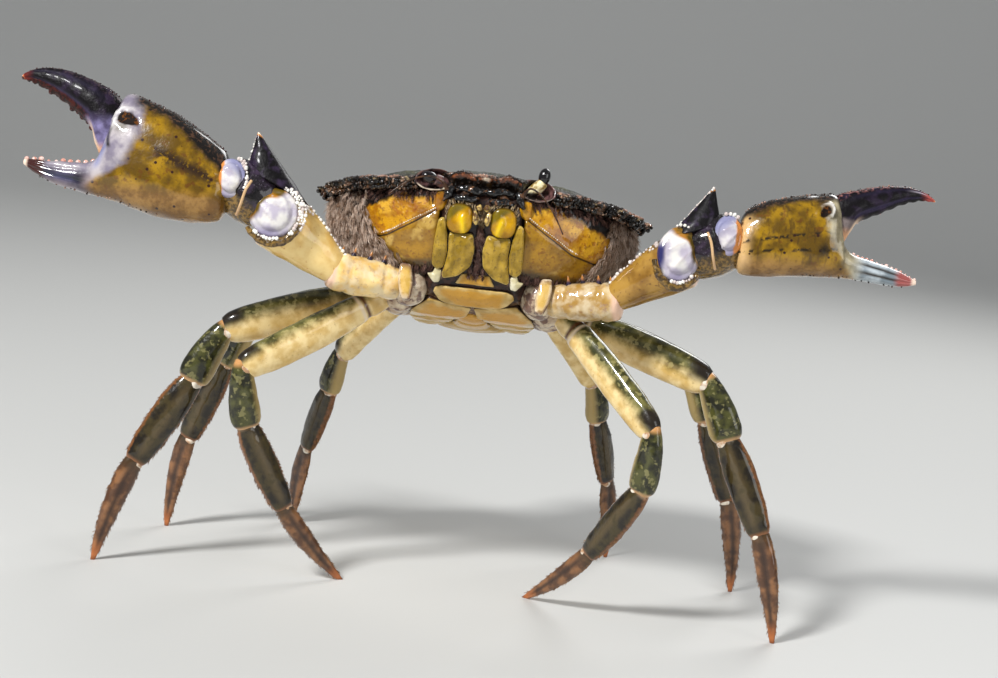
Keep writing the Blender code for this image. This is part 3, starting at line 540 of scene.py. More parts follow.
def bead_rows(name, lines, material, spacing, size, jitter=0.05, place=BODY_PLACE, seed=1):
    """Beads along lines of points in millimetres."""
    points, edges = [], []
    for points_of_line in lines:
        first = len(points)
        points += in_world(np.asarray(points_of_line, float), place).tolist()
        edges += [(i, i + 1) for i in range(first, len(points) - 1)]
    mesh = bpy.data.meshes.new("line")
    mesh.from_pydata(points, edges, [])
    source = bpy.data.objects.new("line", mesh)
    bpy.context.scene.collection.objects.link(source)
    obj = grown(name, source, row_tree, Spacing=spacing * MM, Size=size * MM, Jitter=jitter * MM, Seed=seed,
                Finish=material)
    bpy.data.objects.remove(source, do_unlink=True)
    return obj


# Rim: two rows of blunt grains along the toothed edge, and a rough brown crust of larger ones under it.
# They are part of the carapace's own shell.
bead_finish, spot = wet_shell("rim beads", 0.35, 0.8, 0.05)
tone = spot.mist(2.6, 2)
mixed(tone.step(0.46, 0.66), (30, 20, 16), (176, 136, 116)).into("Base Color")
edge_height = rim_height(edge_toothed[:, 1]) + brows(edge_toothed[:, 0], edge_toothed[:, 1]) + droop + sink
front_edge = np.column_stack([edge_toothed, edge_height])
forward = front_edge[front_edge[:, 1] < TEETH_END]
left_edge = forward[forward[:, 0] >= 0]
right_edge = (forward[forward[:, 0] <= 0])[::-1]
rim_lines = [left_edge, right_edge] + [edge * (0.985, 1, 1) + (0, 0.5, 0.35)
                                       for edge in (left_edge, right_edge)]
attach(bead_rows("rim_beads", rim_lines, bead_finish, 0.52, 0.30, 0.10), "carapace")
crust_finish, spot = wet_shell("rim crust", 0.24, 0.85, 0.04)
tone = spot.mist(3.0, 3)
crust = mixed(tone.step(0.50, 0.62), (10, 7, 6), (86, 58, 38))
# The pale specks mixed over the crust are a painted highlight.
mixed(spot.mist(1.3).step(0.60, 0.70), crust, (176, 142, 116)).into("Base Color")
below_edge = [edge[abs(edge[:, 0]) > 17] * (share, 1, 1) + (0, 0.3, -drop) for edge in (left_edge, right_edge)
              for share, drop in ((1.0, 0.6), (0.985, 1.4), (0.96, 2.2))]
attach(bead_rows("rim_crust", below_edge, crust_finish, 0.85, 0.52, 0.22), "carapace")


# Flanks: the cheeks and sides, curved limy plates grown to the underside of the rim. A slanting suture with a
# row of beads parts the upper from the lower cheek, and towards the sides they carry a thick felt of hairs.
FLANK_RIM = ((10.2, 2.6), (19, 4.4), (28.0, 9.2), (35.4, 17.5), (37.6, 26), (34.8, 35), (28, 46), (19, 55))
FLANK_FOOT = ((10.2, 6.6, -21), (18, 9.8, -21.2), (26, 15, -20.5), (30.8, 22, -19), (31.8, 30, -17),
              (29, 40, -15), (23, 49, -13.5), (15, 56, -12))
FLANK_ROOT = ((10.2, 9.5), (15.5, 14), (20, 20), (22, 27), (22, 34), (20, 42), (16, 48.5), (11.5, 53))
FLANK_BULGE = 2.4
FLANK_STATIONS = 110
FLANK_STEPS = 46
# Where the felt begins, out from the middle, at the rim of each side, and how much nearer it comes lower
# down.
FELT_FROM = {1: (30.6, 4.4), -1: (27.6, 8.2)}
FELT_END = 44
BEADS_ABOVE_SEAM = 0.62
SUTURE = ((9.0, 0.20), (16.0, 0.40), (22.7, 0.58), (30, 0.66), (38, 0.70))

cheek_finish, spot = wet_shell("cheek shell", 0.40, 0.8, 0.06)
across, share = spot.mark("across").size(), spot.mark("share")
seam, hairy = spot.marks("seam", "hairy")
cloud, fine = spot.mist(5.0, 3), spot.mist(0.9, 3)
# The large light yellow patches laid over the upper cheek are painted highlights.
upper = layered(mixed(cloud.step(0.38, 0.62), (200, 144, 12), (150, 94, 2)),
                (spot.mist(6.0, 2).step(0.50, 0.66) * 0.65, (228, 176, 52)),
                (spot.mist(2.0, 3).step(0.56, 0.66) * 0.6, (146, 78, 8)))
lower = mixed(cloud.step(0.35, 0.65), (166, 122, 22), (124, 86, 8))
lower = mixed(spot.mist(5.0, 2).step(0.54, 0.68) * 0.7, lower, (204, 168, 84))
skin = layered(mixed(seam.step(-0.3, 0.3), upper, lower),
               ((share - 0.88 + cloud * 0.1).step(0.0, 0.10), (74, 54, 20)),
               (fine.step(0.56, 0.68) * 0.6, (112, 62, 8)))
shadow = share - 0.10 - (across - 20).either(0) * 0.017 + cloud * 0.16 - 0.08 + fine * 0.08 - 0.04
skin = layered(skin,
               (shadow.step(0.035, -0.02), (18, 11, 6)),
               # A dark strip along the inner edge, beside the mouth, is painted shade of the gap.
               (across.step(10.5, 10.2), (40, 26, 10)),
               (hairy * 0.92, (60, 42, 30)),
               (seam.ridge(0.12, 0.38), (30, 19, 10)))
skin.into("Base Color")
(fine * 0.3 + 0.25 + hairy * 0.2).into("Roughness")
(fine + spot.cells(0.8).step(0.6, 0.0) * 0.5).raise_surface(0.12)

suture_beads_finish, spot = wet_shell("suture beads", 0.35, 0.8, 0.05)
mixed(spot.mist(1.6).step(0.4, 0.6), (214, 196, 160), (246, 236, 222)).into("Base Color")
flank_grids = {}
for side, word in SIDES:
    rim = through([(x, y, 0) for x, y in FLANK_RIM], FLANK_STATIONS)
    foot = through(FLANK_FOOT, FLANK_STATIONS)
    root = through([(x, y, 0) for x, y in FLANK_ROOT], FLANK_STATIONS)
    rim[:, 2] = rim_height(rim[:, 1]) - THORAX_TOP_DEPTH + 0.3
    root[:, 2] = rim_height(root[:, 1]) - THORAX_TOP_DEPTH
    out = (rim - root) / np.linalg.norm(rim - root, axis=1, keepdims=True)
    shares = np.linspace(0, 1, FLANK_STEPS)
    columns = []
    for t in shares:
        bulge = FLANK_BULGE * math.sin(math.pi * t) ** 0.8
        columns.append(rim + (foot - rim) * t + out * bulge + np.array((0, 0, -bulge * 0.5)))
    inner = [foot + (root - foot) * 0.25 + np.array((0, 0, -0.6)), root]
    grid = np.stack(columns + inner, axis=1)
    down = np.concatenate([shares, (1.0, 1.0)])[None, :] * np.ones((FLANK_STATIONS, 1))
    line = np.interp(grid[:, :, 0], *zip(*SUTURE))
    depth = np.linalg.norm(foot - rim, axis=1)[:, None]
    from_seam = (down - line) * depth
    lean = outward(grid)
    cheeks = limited((34 - grid[..., 0]) / 4)
    height = -0.45 * hump(from_seam, 0, 0.30) + 0.22 * hump(from_seam, -0.75, 0.45)
    height = height * cheeks + lumps(grid, 2.6, 3) * 0.10 + lumps(grid, 0.9, 4) * 0.05
    height -= 0.7 * limited((11.2 - grid[..., 0]) / 1.0) ** 2
    height *= limited(down * 12) * (down < 1)
    grid = grid + lean * height[..., None]
    at_rim, nearer = FELT_FROM[side]
    bare = at_rim - nearer * limited((down - 0.32) / 0.48)
    spread = grid[..., 0] - bare + lumps(grid, 4.0, 5) * 1.4
    sideways = limited(spread / 3.0) * (grid[..., 1] < FELT_END)
    marks = spots(grid)
    marks.update(share=down, seam=from_seam, hairy=limited(sideways))
    flank_grids[side] = (grid * (side, 1, 1), lean * (side, 1, 1), down, sideways)
    flank = shell_mesh("cheek_shell_" + word, grid * (side, 1, 1), cheek_finish, marks=marks)
    attach(flank, "cheek", "flank_" + word)

    on_line = np.abs(from_seam[:, :FLANK_STEPS] + BEADS_ABOVE_SEAM).argmin(axis=1)
    suture = np.array([grid[row, column] + lean[row, column] * 0.08 for row, column in enumerate(on_line)])
    suture = suture[(suture[:, 0] > 11.0) & (suture[:, 0] < 24.5) & (suture[:, 1] < 20)]
    suture = through(suture[::4], 60) * (side, 1, 1)
    attach(bead_rows("suture_beads_" + word, (suture,), suture_beads_finish, 0.55, 0.19, 0.03), "cheek")


# Mouth: the outer pair of mouth legs closes it like two doors. Each has a long plate, a round plate over
# it, a slim rod along its outside and a pale foot, hinged to each other under the front of the thorax.
# A small yellow corner of the cheek stands beside them, below each eye.
FACE_TOP = np.array((0, 0.3, -5.4))
FACE_FOOT = np.array((0, 7.2, -25.0))
FACE_SLOPE = (FACE_FOOT - FACE_TOP) / np.linalg.norm(FACE_FOOT - FACE_TOP)
FACE_OUT = np.array((0, FACE_SLOPE[2], -FACE_SLOPE[1]))
ROUND_PLATE = [(5.25 + 3.2 * math.copysign(abs(math.cos(a)) ** 0.75, math.cos(a)),
                3.5 + 3.7 * math.copysign(abs(math.sin(a)) ** 0.75, math.sin(a)))
               for a in np.linspace(0, math.tau, 17)[:-1]]
MOUTH_PLATES = {
    "long": (((1.7, 6.8), (4.6, 7.2), (7.5, 7.0), (7.2, 12.0), (8.4, 18.6), (4.4, 17.6), (1.4, 14.8),
              (0.9, 10.6)),
             2.3),
    "round": (ROUND_PLATE, 2.9),
    "rod": (((8.3, 4.7), (9.1, 3.5), (10.3, 4.2), (10.8, 9.5), (10.9, 15.2), (9.6, 16.4), (7.9, 15.8),
             (7.4, 12.0), (7.8, 8.0)), 2.3),
    "foot": (((8.0, 16.6), (9.8, 15.8), (10.4, 17.4), (11.8, 17.6), (10.0, 19.8), (8.6, 19.6)), 1.5)}


def soft_outline(corners, count=64, turns=3):
    """A closed outline with rounded corners, evenly shared."""
    line = np.asarray(corners, float)
    for _ in range(turns):
        after = np.roll(line, -1, axis=0)
        pairs = np.stack([line * 0.86 + after * 0.14, line * 0.14 + after * 0.86], axis=1)
        line = pairs.reshape(-1, line.shape[1])
    closed = np.vstack([line, line[:1]])
    run = np.concatenate([[0], np.cumsum(np.linalg.norm(np.diff(closed, axis=0), axis=1))])
    places = np.linspace(0, run[-1], count, endpoint=False)
    return np.stack([np.interp(places, run, closed[:, k]) for k in range(line.shape[1])], axis=1)


def face_points(flat, out):
    """Points on the mouth's sloping face, from pairs of across and down, and how far out they lie."""
    flat = np.asarray(flat)
    return (FACE_TOP + flat[:, :1] * np.array((1, 0, 0)) + flat[:, 1:] * FACE_SLOPE
            + np.asarray(out).reshape(-1, 1) * FACE_OUT)


def crowned(corners, rise, root, place_points, crown=0.22, count=64):
    """Rings of a plate with a rolled edge and a crowned middle, and their shares towards the middle."""
    edge = soft_outline(corners, count)
    middle = edge.mean(axis=0)
    shares = np.array([0.0, 0.0, 0.01, 0.035, 0.08, 0.14, 0.22, 0.32, 0.44, 0.57, 0.70, 0.84, 0.95])
    outs = rise * np.array([0, 0.55, 0.72, 0.86, 0.95, 1.0, *(1 + crown * (shares[6:] - 0.14) ** 0.7)])
    outs[0] = root
    rings = [place_points(edge + (middle - edge) * share, np.full(count, out))
             for share, out in zip(shares, outs)]
    return np.array(rings), np.array([-1.0, -0.2, *shares[2:]])[:, None]


mouth_finish, spot = wet_shell("mouth plates", 0.33, 0.6, 0.12)
edge, kind = spot.marks("inner", "kind")
cloud, fine = spot.mist(3.0, 3), spot.mist(0.7, 3)
# On the round plates, the bright yellow streak over the raised slot is a painted highlight, and the olive
# upper side is painted shade.
gold = layered(mixed(cloud.step(0.35, 0.65), (196, 146, 6), (150, 106, 2)),
               (spot.mark("raised_slot_painted_highlight"), (238, 196, 20)),
               ((spot.mark("shaded") + cloud * 0.4 - 0.2).step(0.1, 0.7) * 0.85, (104, 92, 10)),
               (edge.step(0.12, 0.02) * 0.8, (92, 66, 8)))
khaki = layered(mixed(cloud.step(0.35, 0.65), (178, 144, 48), (134, 106, 20)),
                (edge.step(0.10, 0.0) * 0.7, (222, 196, 110)),
                (fine.step(0.56, 0.66) * 0.6, (98, 76, 16)))
pale = mixed(cloud.step(0.3, 0.7), (232, 224, 196), (196, 184, 140))
body = mixed(kind.step(0.4, 0.6), khaki, gold)
body = mixed(kind.step(1.4, 1.6), body, pale)
mixed(edge.step(-0.02, -0.35), body, (28, 17, 9)).into("Base Color")
(fine * 0.25 + 0.15).into("Roughness")
(cloud * 0.8 + fine * 0.6).raise_surface(0.16)
KINDS = {"long": 0, "rod": 0.15, "round": 1, "foot": 2}
for side, word in SIDES:
    plates = []
    for part, (corners, thickness) in MOUTH_PLATES.items():
        grid, inner = crowned(corners, thickness, 0.3, face_points, 0.30)
        x, z = grid[..., 0], grid[..., 2]
        raised_slot_painted_highlight = np.zeros(x.shape)
        if part == "long":
            ribs = 0.45 * hump(x, 3.2, 0.8) - 0.40 * hump(x, 5.4, 0.7)
            grid = grid + FACE_OUT * (ribs * limited(inner * 6))[..., None]
        if part == "round":
            # The raised slot line is also where the painted highlight lies.
            from_slot = (x - 4.9 - 0.25 * (z + 9)) / 0.8
            raised_slot_painted_highlight = np.exp(-from_slot ** 2) * limited((-8.0 - z) / 1.5) * (inner > 0.03)
            dish = -0.9 * np.exp(-((x - 5.8) / 1.3) ** 2 - ((z + 8.6) / 1.9) ** 2) + 0.45 * raised_slot_painted_highlight
            grid = grid + FACE_OUT * (dish * limited(inner * 6))[..., None]
        grid = grid + FACE_OUT * (lumps(grid, 1.6, 6) * 0.12)[..., None]
        # Painted shade: olive on the side of each round plate away from the light.
        shaded = limited((z + 8.9 - (x - 5.25) * side * 0.8) / 2.2) * (part == "round")
        marks = {"inner": inner, "kind": KINDS[part], "raised_slot_painted_highlight": raised_slot_painted_highlight, "shaded": shaded}
        name = "mouth_%s_%s" % (part, word)
        plates.append(shell_mesh(name, grid * (side, 1, 1), mouth_finish, marks=marks))
        attach(plates[-1], "mouth")
    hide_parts("mouth_plate_" + word)
    corners = ((8.6, 0.6), (8.9, -1.6), (10.0, -2.0), (11.6, -1.6), (11.8, 2.0), (10.6, 3.0), (9.2, 1.9))
    grid, inner = crowned(corners, 1.5, -0.3, lambda flat, out: face_points(flat, out - 2.3), 0.3)
    marks = dict(across=14.0, share=0.4, seam=-1.0, hairy=0.0)
    attach(shell_mesh("cheek_corner_" + word, grid * (side, 1, 1), cheek_finish, marks=marks), "cheek")


# Thorax: the core of the body, to which the carapace, the flanks and all legs are joined. Its front is dark
# skin, and its underside is the breastplate, pale limy plates that meet in dark seams, with the sockets of
# the legs along both sides.
THORAX_LEVELS = ((-5.4, 0.6, 52, 20, 9.6), (-12, 2.7, 54, 21, 9.6), (-19, 5.2, 55, 20.5, 9.8),
                 (-24.5, 7.6, 54, 20, 11.0), (-27.6, 12.0, 51, 18, 10.0), (-29.6, 18.5, 46, 12, 6.0))
HIPS = {2: (21.5, 20.5, -26.2), 3: (22.5, 29.5, -26.0), 4: (21.0, 38.5, -24.8), 5: (17.0, 46.5, -22.6)}
CLAW_HIP = (19.0, 11.8, -25.0)
LEG_SOCKET = {2: 4.9, 3: 4.9, 4: 4.9, 5: 4.2}
BREAST_RISE = 0.7
BREAST_MIDDLE = (((3.4, 6.2), (4.8, 7.2)), ((8.0, 7.6), (9.5, 8.2), (9.9, 9.4), (8.4, 11.4), (5.0, 13.0)))
BREAST_PAIRS = (((0.3, 14.0), (10.9, 11.4), (15.0, 18.2), (15.8, 26.4), (4.2, 26.4), (1.4, 19.0)),
                ((4.4, 27.0), (15.8, 27.0), (15.2, 34.2), (5.6, 34.2)),
                ((6.2, 34.8), (15.0, 34.8), (13.8, 41.2), (9.4, 41.4)))


def thorax_ring(height, front, rear, half, front_half):
    """A level of the core: a blunt front, wide at the legs, narrow at the rear."""
    middle = front + (rear - front) * 0.45
    side = [(0, front), (front_half * 0.6, front + 0.1), (front_half, front + 1.2),
            ((front_half + half) / 2, front + (middle - front) * 0.42), (half, middle - 4),
            (half, middle + 5), (half * 0.80, rear - 7), (half * 0.52, rear - 1.5), (0, rear)]
    line = through(side, 57)
    line = np.vstack([line, (line * (-1, 1))[-2:0:-1]])
    heights = rim_height(line[:, 1]) - THORAX_TOP_DEPTH if height is None else np.full(len(line), height)
    return np.column_stack([line, heights])


def belly_points(flat, out):
    """Points out from the curved underside of the thorax, from pairs of across and rear."""
    flat = np.asarray(flat)
    fronts = [front for _, front, _, _, _ in THORAX_LEVELS] + [60]
    heights = [height for height, _, _, _, _ in THORAX_LEVELS] + [THORAX_LEVELS[-1][0]]
    z = np.interp(flat[:, 1], fronts, heights)
    fall = (np.interp(flat[:, 1] + 1.5, fronts, heights) - np.interp(flat[:, 1] - 1.5, fronts, heights)) / 3
    lean = np.column_stack([np.zeros(len(flat)), fall, -np.ones(len(flat))])
    lean /= np.linalg.norm(lean, axis=1, keepdims=True)
    return np.column_stack([flat, z]) + lean * np.asarray(out).reshape(-1, 1)


belly_finish, spot = wet_shell("breastplate", 0.40, 0.6, 0.08)
front, inner = spot.marks("rear", "inner")
cloud, fine = spot.mist(4.0, 3), spot.mist(0.8, 3)
cream = layered(mixed(cloud.step(0.35, 0.65), (214, 184, 118), (176, 142, 72)),
                ((inner + spot.mist(5.0, 3) * 0.9 - 0.45).step(0.10, 0.4) * 0.85, (204, 146, 30)),
                (fine.step(0.60, 0.72) * 0.35, (150, 110, 60)),
                (front.step(20, 34) * 0.6, (176, 150, 80)),
                (inner.step(-0.02, -0.35), (46, 26, 16)))
cream.into("Base Color")
(fine * 0.3 + 0.3).into("Roughness")
(cloud * 0.5 + fine).raise_surface(0.12)

core_finish, spot = wet_shell("skin between the plates", 0.5, 0.55, 0.1)
up, rear = spot.marks("up", "rear")
fine = spot.mist(1.2, 3)
skin = mixed(fine.step(0.4, 0.6), (26, 15, 12), (62, 38, 30))
under = mixed(fine.step(0.4, 0.6), (96, 66, 46), (150, 120, 84))
skin = mixed(up.step(-23.5, -27.5) * rear.step(9, 14), skin, under)
skin.into("Base Color")
fine.raise_surface(0.25)

levels = [thorax_ring(None, 1.4, 55.5, 19, 9.4)] + [thorax_ring(*level) for level in THORAX_LEVELS]
core = np.stack([through([level[k] for level in levels], 40) for k in range(len(levels[0]))], axis=1)
core += outward(core) * (lumps(core, 1.8, 7) * 0.18 - 0.1)[..., None]
attach(shell_mesh("thorax_core", core, core_finish, marks=spots(core)), "belly", "thorax")

outlines = [half + tuple((-x, y) for x, y in reversed(half)) for half in BREAST_MIDDLE]
outlines += [[(side * x, y) for x, y in corners] for corners in BREAST_PAIRS for side in (1, -1)]
for number, corners in enumerate(outlines):
    after = list(corners[1:]) + [corners[0]]
    dense = np.concatenate([np.linspace(a, b, 5)[:-1] for a, b in zip(corners, after)])
    grid, inner = crowned(dense, BREAST_RISE * 1.2, -1.6, belly_points, 0.5, 96)
    grid = grid + (lumps(grid, 2.4, 8) * 0.14)[..., None] * np.array((0, -0.5, -1))
    marks = spots(grid)
    marks["inner"] = inner
    attach(shell_mesh("breast_plate_%d" % (number + 1), grid, belly_finish, marks=marks), "belly")


def ellipsoid(centre, radii, rows=22, sides=36, turn=(0, 0, 0)):
    """Rings of an oval ball from below to above, turned by angles in degrees."""
    lift = (np.arange(rows) + 0.5) / rows * math.pi
    around = full_turn(sides)
    ball = np.stack([np.sin(lift)[:, None] * np.cos(around), np.sin(lift)[:, None] * np.sin(around),
                     -np.cos(lift)[:, None] * np.ones(sides)], axis=-1) * radii
    for axis, angle in zip("XYZ", turn):
        ball = ball @ np.array(Matrix.Rotation(math.radians(angle), 3, axis)).T
    return ball + np.array(centre)


# Leg sockets: fat, cream rings of shell in the sides of the breastplate, in which the legs turn. A tall gold
# wedge stands in front of each claw's socket.
socket_finish, spot = wet_shell("leg sockets", 0.38, 0.7, 0.07)
cloud, fine = spot.mist(3.0, 3), spot.mist(0.8, 3)
cream = layered(mixed(cloud.step(0.3, 0.7), (224, 208, 180), (176, 150, 124)),
                (spot.mist(2.6, 3).step(0.48, 0.58) * 0.85, (92, 58, 52)),
                (fine.step(0.58, 0.68) * 0.5, (140, 96, 66)),
                (spot.mark("gold"), (212, 170, 72)))
cream.into("Base Color")
(cloud + fine * 0.4).raise_surface(0.2)
for side, word in SIDES:
    for number, (x, y, z) in HIPS.items():
        size = LEG_SOCKET[number]
        grid = ellipsoid((side * (x - 3.4), y, z + 0.4), (size, size * 0.92, size * 0.98))
        grid = pushed(grid, lumps(grid, 2.2, number) * 0.25)
        attach(shell_mesh("socket_%d_%s" % (number, word), grid, socket_finish, marks=spots(grid)), "belly")
    x, y, z = CLAW_HIP
    grid = ellipsoid((side * (x - 3.2), y + 0.8, z + 0.1), (4.6, 4.8, 5.0))
    grid = pushed(grid, lumps(grid, 2.2, 9) * 0.3)
    attach(shell_mesh("claw_socket_" + word, grid, socket_finish, marks=spots(grid)), "belly")

    def beside_socket(flat, out):
        """Points of the tall plate in front of the claw's socket, from pairs of across and down."""
        flat, out = np.asarray(flat), np.asarray(out)
        return np.column_stack([side * (16.6 + flat[:, 0] - 0.10 * flat[:, 1]), 8.4 - out - 0.1 * flat[:, 1],
                                -24.6 - flat[:, 1]])

    corners = ((-1.3, -4.2), (1.5, -4.4), (2.0, -1.0), (1.7, 2.6), (0.9, 4.8), (-1.0, 4.6), (-1.8, 1.0))
    grid, inner = crowned(corners, 1.9, -0.5, beside_socket, 0.3)
    marks = dict(spots(grid), gold=np.clip(inner * 2.2 - 0.1, 0, 0.85))
    attach(shell_mesh("socket_wedge_" + word, grid, socket_finish, marks=marks), "belly")


# Tail: a narrow row of thin, limy plates with soft joints between them, hinged below the rear of the carapace
# and folded flat against the breastplate. It ends in a small arched tip between the legs.
TAIL_ROWS = ((18.6, -29.1, 0.9), (20.4, -29.9, 2.6), (25.0, -30.5, 3.6), (32.0, -30.9, 4.6),
             (40.0, -30.6, 8.0), (46.5, -29.0, 10.6), (52.0, -24.6, 9.8), (56.0, -17.5, 9.0),
             (57.6, -11.0, 8.4), (57.8, -7.2, 8.0))
TAIL_THICKNESS = 1.7
TAIL_JOINTS = (25.5, 32.5, 38.5, 44.5, 51.0)
rows = through(TAIL_ROWS, 90)
spine = np.column_stack([np.zeros(len(rows)), rows[:, 0], rows[:, 1]])
along = np.gradient(spine, axis=0)
along /= np.linalg.norm(along, axis=1, keepdims=True)
lean = np.cross((1, 0, 0), along)
section = through([(-1, 0.15), (-0.86, 0.62), (-0.4, 0.92), (0, 1.0), (0.4, 0.92), (0.86, 0.62), (1, 0.15),
                   (0.9, -0.25), (0, -0.25), (-0.9, -0.25), (-1, 0.15)], 61)[:-1]
thin = np.minimum(TAIL_THICKNESS, 0.9 + 0.5 * rows[:, 2])
grid = spine[:, None, :] + rows[:, 2][:, None, None] * section[None, :, :1] * np.array((1, 0, 0))
grid = grid - lean[:, None, :] * ((section[None, :, 1] - 0.5) * thin[:, None])[..., None]
joint_gap = np.abs(rows[:, 0][:, None] - np.array(TAIL_JOINTS)).min(axis=1)
steps = hump(joint_gap, 0, 0.5)
grid = grid + lean[:, None, :] * (steps[:, None] * (section[None, :, 1] > 0.1) * 0.4)[..., None]
marks = spots(grid)
marks["inner"] = (1 - steps)[:, None]
attach(shell_mesh("folded_tail", grid, belly_finish, marks=marks), "belly", "tail")


# Eyes: a short stalk of pale shell, jointed to the bottom of its socket, with a black, glossy cap of many
# tiny facets. The crab's left eye stands up over its socket, and its right eye lies folded into a wrinkled
# one.
EYES = {1: ((9.4, 4.2, -1.6), (13.6, 2.2, 2.0), (0.12, -0.1, 1.0)),
        -1: ((-8.6, 4.0, -1.0), (-12.2, 1.9, -0.1), (-0.9, -0.35, 0.15))}
EYE_RADIUS = 1.45
EYE_LENGTH = 2.1


def unit(vector):
    vector = np.asarray(vector, float)
    return vector / np.linalg.norm(vector, axis=-1, keepdims=True)


def rounded(grid, depth=0.35, steps=4):
    """The grid with both ends drawn to a dome."""
    def dome(ring, before):
        centre = ring.mean(axis=0)
        out = unit(centre - before.mean(axis=0)) * np.linalg.norm(ring - centre, axis=1).mean() * depth
        turns = [math.radians(90 * k / (steps + 0.5)) for k in range(1, steps + 1)]
        return [centre + out * math.sin(a) + (ring - centre) * math.cos(a) for a in turns]
    return np.array(dome(grid[0], grid[1])[::-1] + list(grid) + dome(grid[-1], grid[-2]))


def tube(centres, heights, widths, ups, sides=32, square=1.0):
    """Rings of a bent rod: its middle line, half heights and half widths, and which way is up along it."""
    along = unit(np.gradient(centres, axis=0))
    side = unit(np.cross(along, ups))
    top = np.cross(side, along)
    turn = full_turn(sides)
    rise, span = np.cos(turn), np.sin(turn)
    rise, span = np.sign(rise) * np.abs(rise) ** square, np.sign(span) * np.abs(span) ** square
    return (centres[:, None, :] + top[:, None, :] * (np.asarray(heights)[:, None] * rise)[..., None]
            + side[:, None, :] * (np.asarray(widths)[:, None] * span)[..., None])


def leaning(start, control, end, count):
    """Points on a curve from start to end that leans towards control."""
    t = np.linspace(0, 1, count)[:, None]
    return start * (1 - t) ** 2 + control * 2 * t * (1 - t) + end * t * t


stalk_finish, spot = wet_shell("eye stalk", 0.3, 0.9, 0.04)
tone = spot.mist(1.4, 3)
shell = mixed(tone.step(0.42, 0.6), (232, 220, 176), (150, 118, 50))
shell = mixed(spot.mark("up").step(-0.2, -1.0), shell, (20, 14, 10))
skin = mixed(tone.step(0.40, 0.62), (118, 84, 80), (48, 30, 30))
mixed(spot.mark("folded"), shell, skin).into("Base Color")
tone.raise_surface(0.1)
eye_finish, spot = wet_shell("eye cap", 0.12, 1.0, 0.03)
facet = spot.cells(0.09)
tone = spot.mist(1.0, 2)
mixed(tone.step(0.45, 0.7), (8, 7, 8), (34, 24, 30)).into("Base Color")
facet.raise_surface(0.012)
for side, word in SIDES:
    root, top, aim = (np.array(p) for p in EYES[side])
    aim = unit(aim)
    control = root + (top - root) * 0.6 - aim * 0.5
    middle = leaning(root, control, top, 24)
    radii = through([(1.2,), (1.35,), (1.5,), (1.35,)], 24)[:, 0]
    grid = rounded(tube(middle, radii, radii, np.array((0.1, 1.0, 0.2))))
    marks = dict(spots(grid), folded=float(side < 0))
    attach(shell_mesh("eye_stalk_" + word, grid, stalk_finish, marks=marks), "eyestalk", "eyestalk_" + word)
    lift = (np.arange(20) + 0.5) / 20 * math.pi
    middle = top + aim * EYE_LENGTH * 0.72 - aim * np.cos(lift)[:, None] * EYE_LENGTH
    wide = EYE_RADIUS * np.sin(lift)
    grid = tube(middle, wide, wide, np.array((0.1, 1.0, 0.2)), 36)
    attach(shell_mesh("eye_cap_" + word, grid, eye_finish), "eye", "eye_" + word)


# Feelers: horny and bendy, a stout root of three joints beside the eye and a whip of many short rings. The
# left one droops over the cheek, the right one lies along the eye socket. The short first pair is folded in
# pits beside the middle of the front.
FEELERS = {1: ((8.6, 0.6, -3.2), (10.6, -1.9, -0.6), (13.6, -2.6, -2.2), (17.0, -1.6, -6.0),
               (19.6, -0.6, -10.4)),
           -1: ((-8.6, 0.6, -3.2), (-10.4, -2.2, -1.2), (-13.8, -3.6, -0.6), (-18.2, -4.4, -2.4),
                (-22.5, -4.2, -6.0))}
FEELER_RINGS = 46
feeler_finish, spot = wet_shell("feelers", 0.45, 0.5, 0.1)
mixed(spot.mist(1.2, 2).step(0.4, 0.6), (40, 24, 14), (84, 54, 32)).into("Base Color")
for side, word in SIDES:
    middle = through(FEELERS[side], 6 * FEELER_RINGS)
    share = np.linspace(0, 1, len(middle))
    radius = 0.95 - 0.68 * np.minimum(1, share / 0.24) ** 0.7 - 0.12 * share
    radius *= 1 + 0.10 * np.abs(np.sin(share * math.pi * FEELER_RINGS)) ** 3 * (share > 0.25)
    grid = rounded(tube(middle, radius, radius, np.array((0.3, 1.0, 0.1)), 14))
    attach(shell_mesh("feeler_whip_" + word, grid, feeler_finish), "feeler", "feeler_" + word)
    start, end = np.array((side * 3.2, 0.9, -3.0)), np.array((side * 5.9, -0.5, -4.0))
    middle = leaning(start, (start + end) / 2 + np.array((0, 0, 0.8)), end, 20)
    size = through(((0.5,), (0.85,), (0.65,), (0.36,)), 20)[:, 0]
    grid = rounded(tube(middle, size, size, np.array((0, 1.0, 0.2)), 16))
    attach(shell_mesh("short_feeler_" + word, grid, feeler_finish), "feeler", "small_feeler_" + word)


# Eye sockets and front: each socket is a thin-walled cup of shell in the front edge, with a pale lower lip.
# Between them lie wet, black folds over the pits of the short feelers, and small palps by the mouth.
SOCKET_CENTRE = np.array((12.3, 2.2, -0.1))
SOCKET_REACH = (4.6, 2.7)
SOCKET_PROFILE = ((0.50, 3.8), (0.80, 3.0), (0.96, 1.6), (1.03, 0.5), (1.03, 0.0), (0.98, -0.25), (0.91, 0.0),
                  (0.83, 0.7), (0.68, 1.5), (0.45, 2.0), (0.20, 2.2))
FRONT_FOLDS = (((0.0, -0.2, -1.9), (2.2, -0.5, -2.3), (4.6, -0.3, -1.8), (6.9, 0.4, -2.2)),
               ((1.3, 0.1, -3.9), (3.0, -0.7, -4.6), (5.4, -0.9, -4.4), (7.6, 0.0, -4.9)),
               ((7.4, 0.8, -1.6), (8.3, 0.0, -2.7), (8.9, -0.2, -4.0), (9.8, 0.4, -5.0)))
cup_finish, spot = wet_shell("eye socket", 0.3, 0.9, 0.06)
lip, low, cloud = spot.mark("lip"), spot.mark("low"), spot.mist(1.6, 3)
